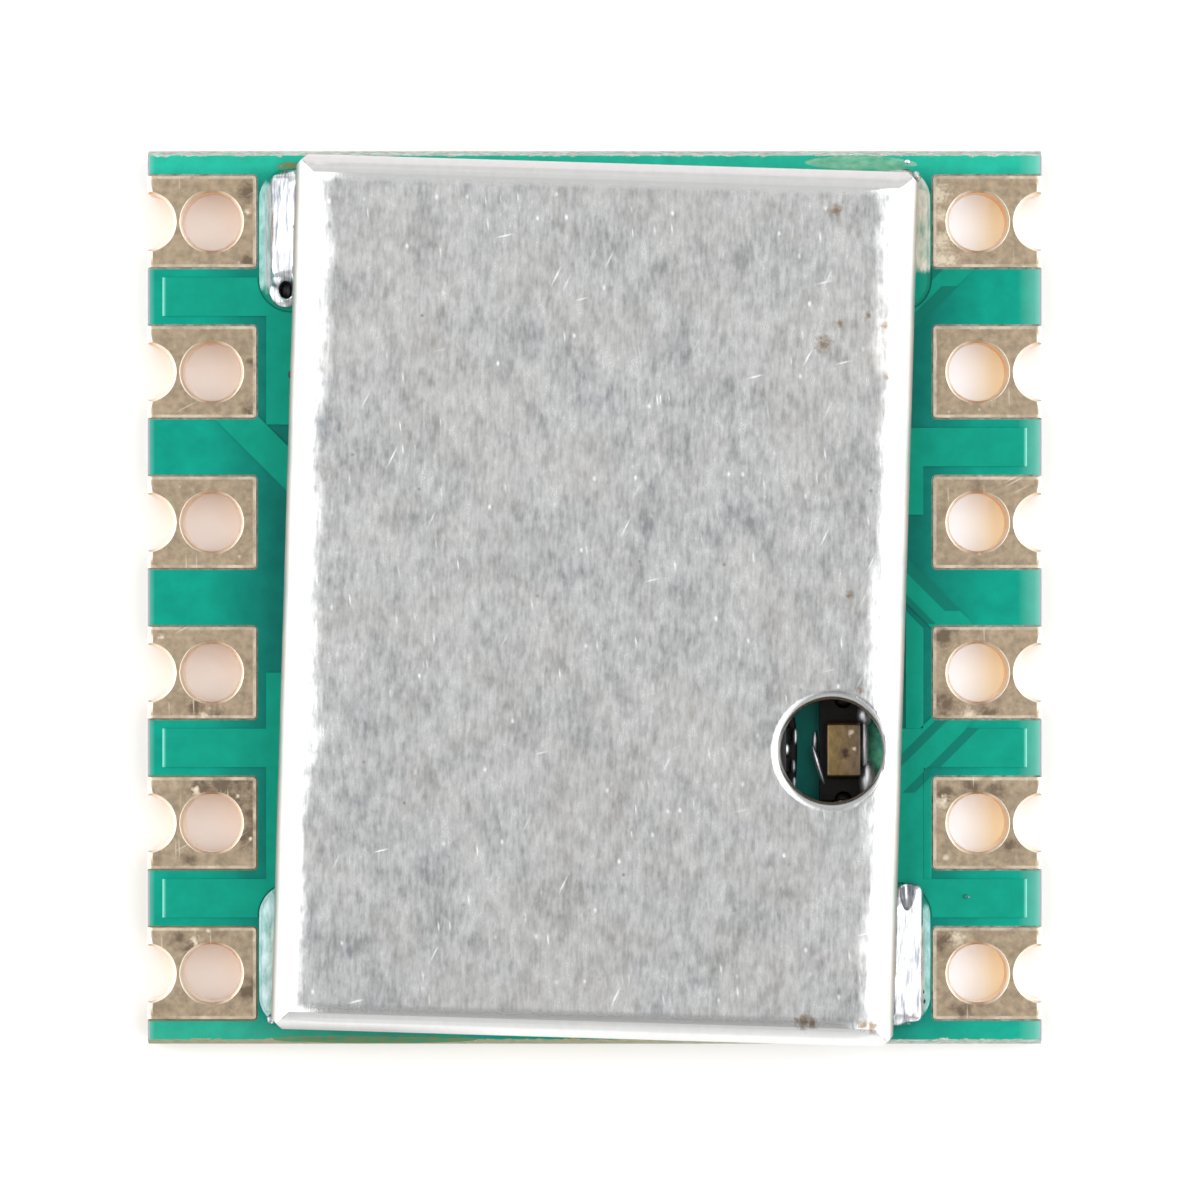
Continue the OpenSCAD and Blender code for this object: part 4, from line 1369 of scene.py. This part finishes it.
@dataclass
class Inside:
    """What lies under the can: lamp, packages and chips. Sizes in millimetres."""

    edge_round: float = 0.02
    lens_round: float = 0.03
    die_round: float = 0.01
    terminal_round: float = 0.005
    lamp_solder: tuple[Lump, ...] = (
        Lump((4.545, -1.98, 1.00), (0.135, 0.20, 0.15)), Lump((4.60, -3.09, 1.00), (0.15, 0.35, 0.18)),
        Lump((4.545, -2.50, 1.04), (0.07, 0.55, 0.07)), Lump((3.72, -2.45, 0.82), (0.05, 0.20, 0.05)),
        Lump((3.77, -2.83, 1.00), (0.05, 0.36, 0.10), math.radians(17)),
        Lump((3.38, -2.34, 0.98), (0.04, 0.14, 0.05)), Lump((3.35, -2.85, 0.98), (0.04, 0.12, 0.05)),
        Lump((3.36, -3.13, 0.82), (0.045, 0.12, 0.04)), Lump((3.22, -2.56, 0.98), (0.07, 0.11, 0.06)),
        Lump((4.27, -3.42, 0.98), (0.28, 0.025, 0.05), math.radians(9)),
    )
    # Black fills as painted shade: two over the notches at the lamp's ends, and a sheet beside the sensor's
    # leads.
    shade_fills: tuple[Lump, ...] = (
        Lump((4.19, -1.74, 0.85), (0.17, 0.12, 0.18)), Lump((4.19, -3.40, 0.85), (0.17, 0.12, 0.18)),
        Lump((3.29, -2.60, 0.81), (0.13, 0.80, 0.06)),
    )
    capacitors: int = 6
    resistors: int = 4
    cap_l: float = 0.23

    def build(self) -> None:
        """Rounds and dresses the solids under the can."""
        mould = Moulded("mould_compound_matte", "#101012", "#232326", rough=0.6).make()
        tin = TinnedCopper().make()
        # Painted shade: the sensor's and controller's leads are near black, for how they look in the can's
        # shadow.
        shaded = Moulded("leads_painted_dark", "#151517", "#2B2B2D", rough=0.5, grain_mm=0.05, shine=0.2).make()
        for name in ("sensor", "controller"):
            rounded(name + "_chip", mould, "mould_compound", self.edge_round)
            rounded(name + "_leads", shaded, "tinned_copper", self.edge_round)
        rounded("regulator", mould, "mould_compound", self.edge_round)
        rounded("regulator_leads", tin, "tinned_copper", self.edge_round)
        # Painted shade: the lamp's body, its terminals and the fills are black, for how they look in the
        # can's shadow.
        shade_black = Moulded("black_painted_shade", "#0B0A09", "#1E1A17", rough=0.45, shine=0.12).make()
        rounded("led_base", shade_black, "lamp_base", self.edge_round)
        rounded("led_terminals", shade_black, "gold_plating", self.terminal_round)
        emitter = Moulded("emitter_red", "#5A1E14", "#8A3A28", rough=0.3, grain_mm=0.05).make()
        rounded("led_die", emitter, "lamp_die", self.die_round)
        rounded("led_lens", CastLens().make(), "lamp_lens", self.lens_round)
        ceramic = Moulded("ceramic_fired_tan", "#8C7252", "#A98C68", rough=0.5).make()
        glaze = Moulded("glaze_black", "#0E0E10", "#1C1C20", rough=0.25).make()
        for number, lump in enumerate(self.shade_fills, 1):
            dress(drop(lump, f"lamp_notch_fill_{number}"), shade_black, "lamp_base")
        solder = BrightSolder("solder_frosted", rough=(0.42, 0.5)).make()
        for number, lump in enumerate(self.lamp_solder, 1):
            dress(drop(lump, f"lamp_solder_{number}"), solder, "solder")
        for i in range(1, self.capacitors + 1):
            self.chip(f"capacitor_{i}", ceramic, solder, "chip_ceramic")
        for i in range(1, self.resistors + 1):
            self.chip(f"resistor_{i}", glaze, solder, "resistor_glaze")

    def chip(self, node: str, body: bpy.types.Material, ends: bpy.types.Material, slot: str) -> None:
        """Replaces a chip by a rounded copy with tinned ends.

        Args:
            node: name of the solid.
            body: material of its middle.
            ends: material of its two ends.
            slot: the record's material slot.
        """
        low, high = (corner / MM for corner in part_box(node))
        middle, size = (low + high) / 2, high - low
        along = 0 if size.x > size.y else 1
        piece = copy_of(node, node + "_finished")
        round_edges(piece, self.edge_round)
        piece.data.materials.append(body)
        piece.data.materials.append(ends)
        cap = size[along] / 2 - self.cap_l
        pick(piece, Element.FACE, lambda at, run: abs(at[along] - middle[along]) > cap)
        piece.active_material_index = 1
        bpy.ops.object.material_slot_assign()
        object_mode()
        dress(piece, body, slot, node)


@dataclass
class Residue:
    """Dried flux beside the can and specks of dirt, as in the photo, and a dark plug in the pit of joint 1
    that is painted shade. Sizes in millimetres.
    """

    pale_films: tuple[Lump, ...] = (
        Lump((4.50, 7.33, 0.8), (0.98, 0.13, 0.012), math.radians(-1)),
        Lump((5.77, -5.11, 0.8), (0.09, 0.13, 0.012)),
    )
    brown_films: tuple[Lump, ...] = (
        Lump((-5.12, 7.27, 0.8), (0.24, 0.09, 0.012)), Lump((-3.70, -7.46, 0.8), (1.80, 0.07, 0.012)),
    )
    flecks_and_pit_shade: tuple[Lump, ...] = (
        Lump((5.51, -5.60, 0.80), (0.02, 0.05, 0.05)), Lump((5.51, -6.11, 0.80), (0.02, 0.06, 0.05)),
        Lump((5.50, -6.34, 0.80), (0.025, 0.03, 0.05)), Lump((5.55, -6.66, 0.80), (0.02, 0.04, 0.05)),
        Lump((5.57, -6.82, 0.80), (0.02, 0.04, 0.05)),
        # A dark drop against the can's west wall, and a dark plug low in the pit of joint 1, painted shade
        # where the pit is dark.
        Lump((-5.15, 3.76, 0.81), (0.03, 0.06, 0.04)), Lump((-5.21, 5.19, 0.50), (0.13, 0.16, 0.20)),
    )
    pimple: Lump = Lump((6.26, -5.05, 0.82), (0.045, 0.04, 0.03))
    wave: float = 0.03
    flatten: float = 0.4

    def build(self) -> None:
        """Lays the films, the dark drops and the pimple on the board."""
        pale = FluxResidue("flux_dried_pale", "#439C7C", "#82B89C").make()
        brown = FluxResidue("flux_dried_brown", "#2F8A6A", "#75794C").make()
        for finish, films in ((pale, self.pale_films), (brown, self.brown_films)):
            for number, film in enumerate(films, 1):
                dress(self.film(f"{finish.name}_{number}", number, film), finish, "masked_laminate")
        burnt_flux_and_shade = Moulded("flux_burnt_and_shade", "#17181C", "#2C2D33", rough=0.3).make()
        for number, dark_drop in enumerate(self.flecks_and_pit_shade, 1):
            dress(drop(dark_drop, f"fleck_{number}"), burnt_flux_and_shade, "masked_laminate")
        mask = Moulded("mask_pimple", "#0A5E51", "#0D7061", rough=0.2).make()
        dress(drop(self.pimple, "mask_pimple"), mask, "masked_laminate")

    def film(self, name: str, seed: int, lump: Lump) -> bpy.types.Object:
        """Models a thin film with a wavy outline on the top of the board.

        Args:
            name: name of the piece.
            seed: start of its random outline.
            lump: its place and size.

        Returns:
            The film.
        """
        film = drop(lump, name)
        pick(film, Element.VERT, everything)
        bpy.ops.transform.vertex_random(offset=self.wave, uniform=1.0, seed=seed)
        bpy.ops.mesh.vertices_smooth(factor=0.5, repeat=4)
        bpy.ops.transform.resize(value=(1, 1, self.flatten), center_override=lump.middle)
        object_mode()
        return film


@dataclass
class Studio:
    """Camera straight above, wide soft panels on both sides and a pale floor."""

    picture_width: float = 20.27 * MM
    lens: float = 220.0
    sensor: float = 36.0
    aim: Vector = field(default_factory=lambda: Vector((0.089 * MM, -0.043 * MM, 0.8 * MM)))
    panel_size: tuple[float, float] = (0.76, 0.70)
    panel_far: float = 0.45
    panel_rise: float = math.radians(40)
    panel_radiance: float = 1.6
    surround: float = 0.615
    overhead_band: tuple[float, float] = (0.05, 0.2)
    overhead_dim: float = 0.86
    surround_bands: tuple[tuple[float, float, float], ...] = (
        (0.45, 1.0, 0.66), (-0.1, -0.22, -0.56), (-0.5, -0.95, 1.28),
    )
    floor_size: float = 3.0
    clip: tuple[float, float] = (0.01, 10.0)

    def build(self) -> None:
        """Sets up the world, the lights, the floor and the camera."""
        scene = bpy.context.scene
        scene.view_settings.view_transform = "Standard"
        self.world()
        for name, side in (("panel_left", -1), ("panel_right", 1)):
            self.panel(name, side)
        bpy.ops.mesh.primitive_plane_add(size=self.floor_size)
        floor = bpy.context.object
        floor.name = "floor"
        floor.data.materials.append(StudioPaper().make())
        data = bpy.data.cameras.new("camera")
        data.lens, data.sensor_width = self.lens, self.sensor
        data.clip_start, data.clip_end = self.clip
        camera = bpy.data.objects.new("camera", data)
        scene.collection.objects.link(camera)
        camera.location = self.aim + Vector((0, 0, self.picture_width * self.lens / self.sensor))
        scene.camera = camera

    def world(self) -> None:
        """Makes a grey surround, darker high up over both ends of the can, and lighter low down."""
        world = bpy.data.worlds.new("studio")
        bpy.context.scene.world = world
        world.use_nodes = True
        nodes = Nodes(world.node_tree)
        y = nodes.add("SeparateXYZ", {0: nodes.add("TexCoord", {}, "Generated")}, "Y")
        away = nodes.add("Math", {0: y}, operation="ABSOLUTE")
        start, stop = self.overhead_band
        light = nodes.add("MapRange", {0: away, 1: start, 2: stop, 3: 1.0, 4: self.overhead_dim})
        for start, stop, gain in self.surround_bands:
            part = nodes.add("MapRange", {0: y, 1: start, 2: stop, 3: 0.0, 4: gain})
            light = nodes.add("Math", {0: light, 1: part}, operation="ADD")
        light = nodes.add("Math", {0: light, 1: self.surround}, operation="MULTIPLY")
        sky = world.node_tree.nodes["Background"]
        sky.inputs["Color"].default_value = linear("#FFFFFF")
        world.node_tree.links.new(light, sky.inputs["Strength"])

    def panel(self, name: str, side: int) -> None:
        """Adds a soft panel that faces the module.

        Args:
            name: name of the light.
            side: -1 for the left and 1 for the right.
        """
        light = bpy.data.lights.new(name, "AREA")
        light.shape = "RECTANGLE"
        light.size, light.size_y = self.panel_size
        light.energy = self.panel_radiance * math.pi * self.panel_size[0] * self.panel_size[1]
        lamp = bpy.data.objects.new(name, light)
        bpy.context.scene.collection.objects.link(lamp)
        rise = self.panel_rise
        lamp.location = Vector((side * math.cos(rise), 0, math.sin(rise))) * self.panel_far
        lamp.rotation_mode = "QUATERNION"
        lamp.rotation_quaternion = (-lamp.location).to_track_quat("-Z", "Y")


def main() -> None:
    """Builds the module's looks."""
    logging.basicConfig(level=logging.INFO, format="%(name)s: %(message)s")
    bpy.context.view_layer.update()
    Studio().build()
    Board().build()
    Can().build()
    Inside().build()
    Residue().build()


if __name__ == "__main__":
    main()
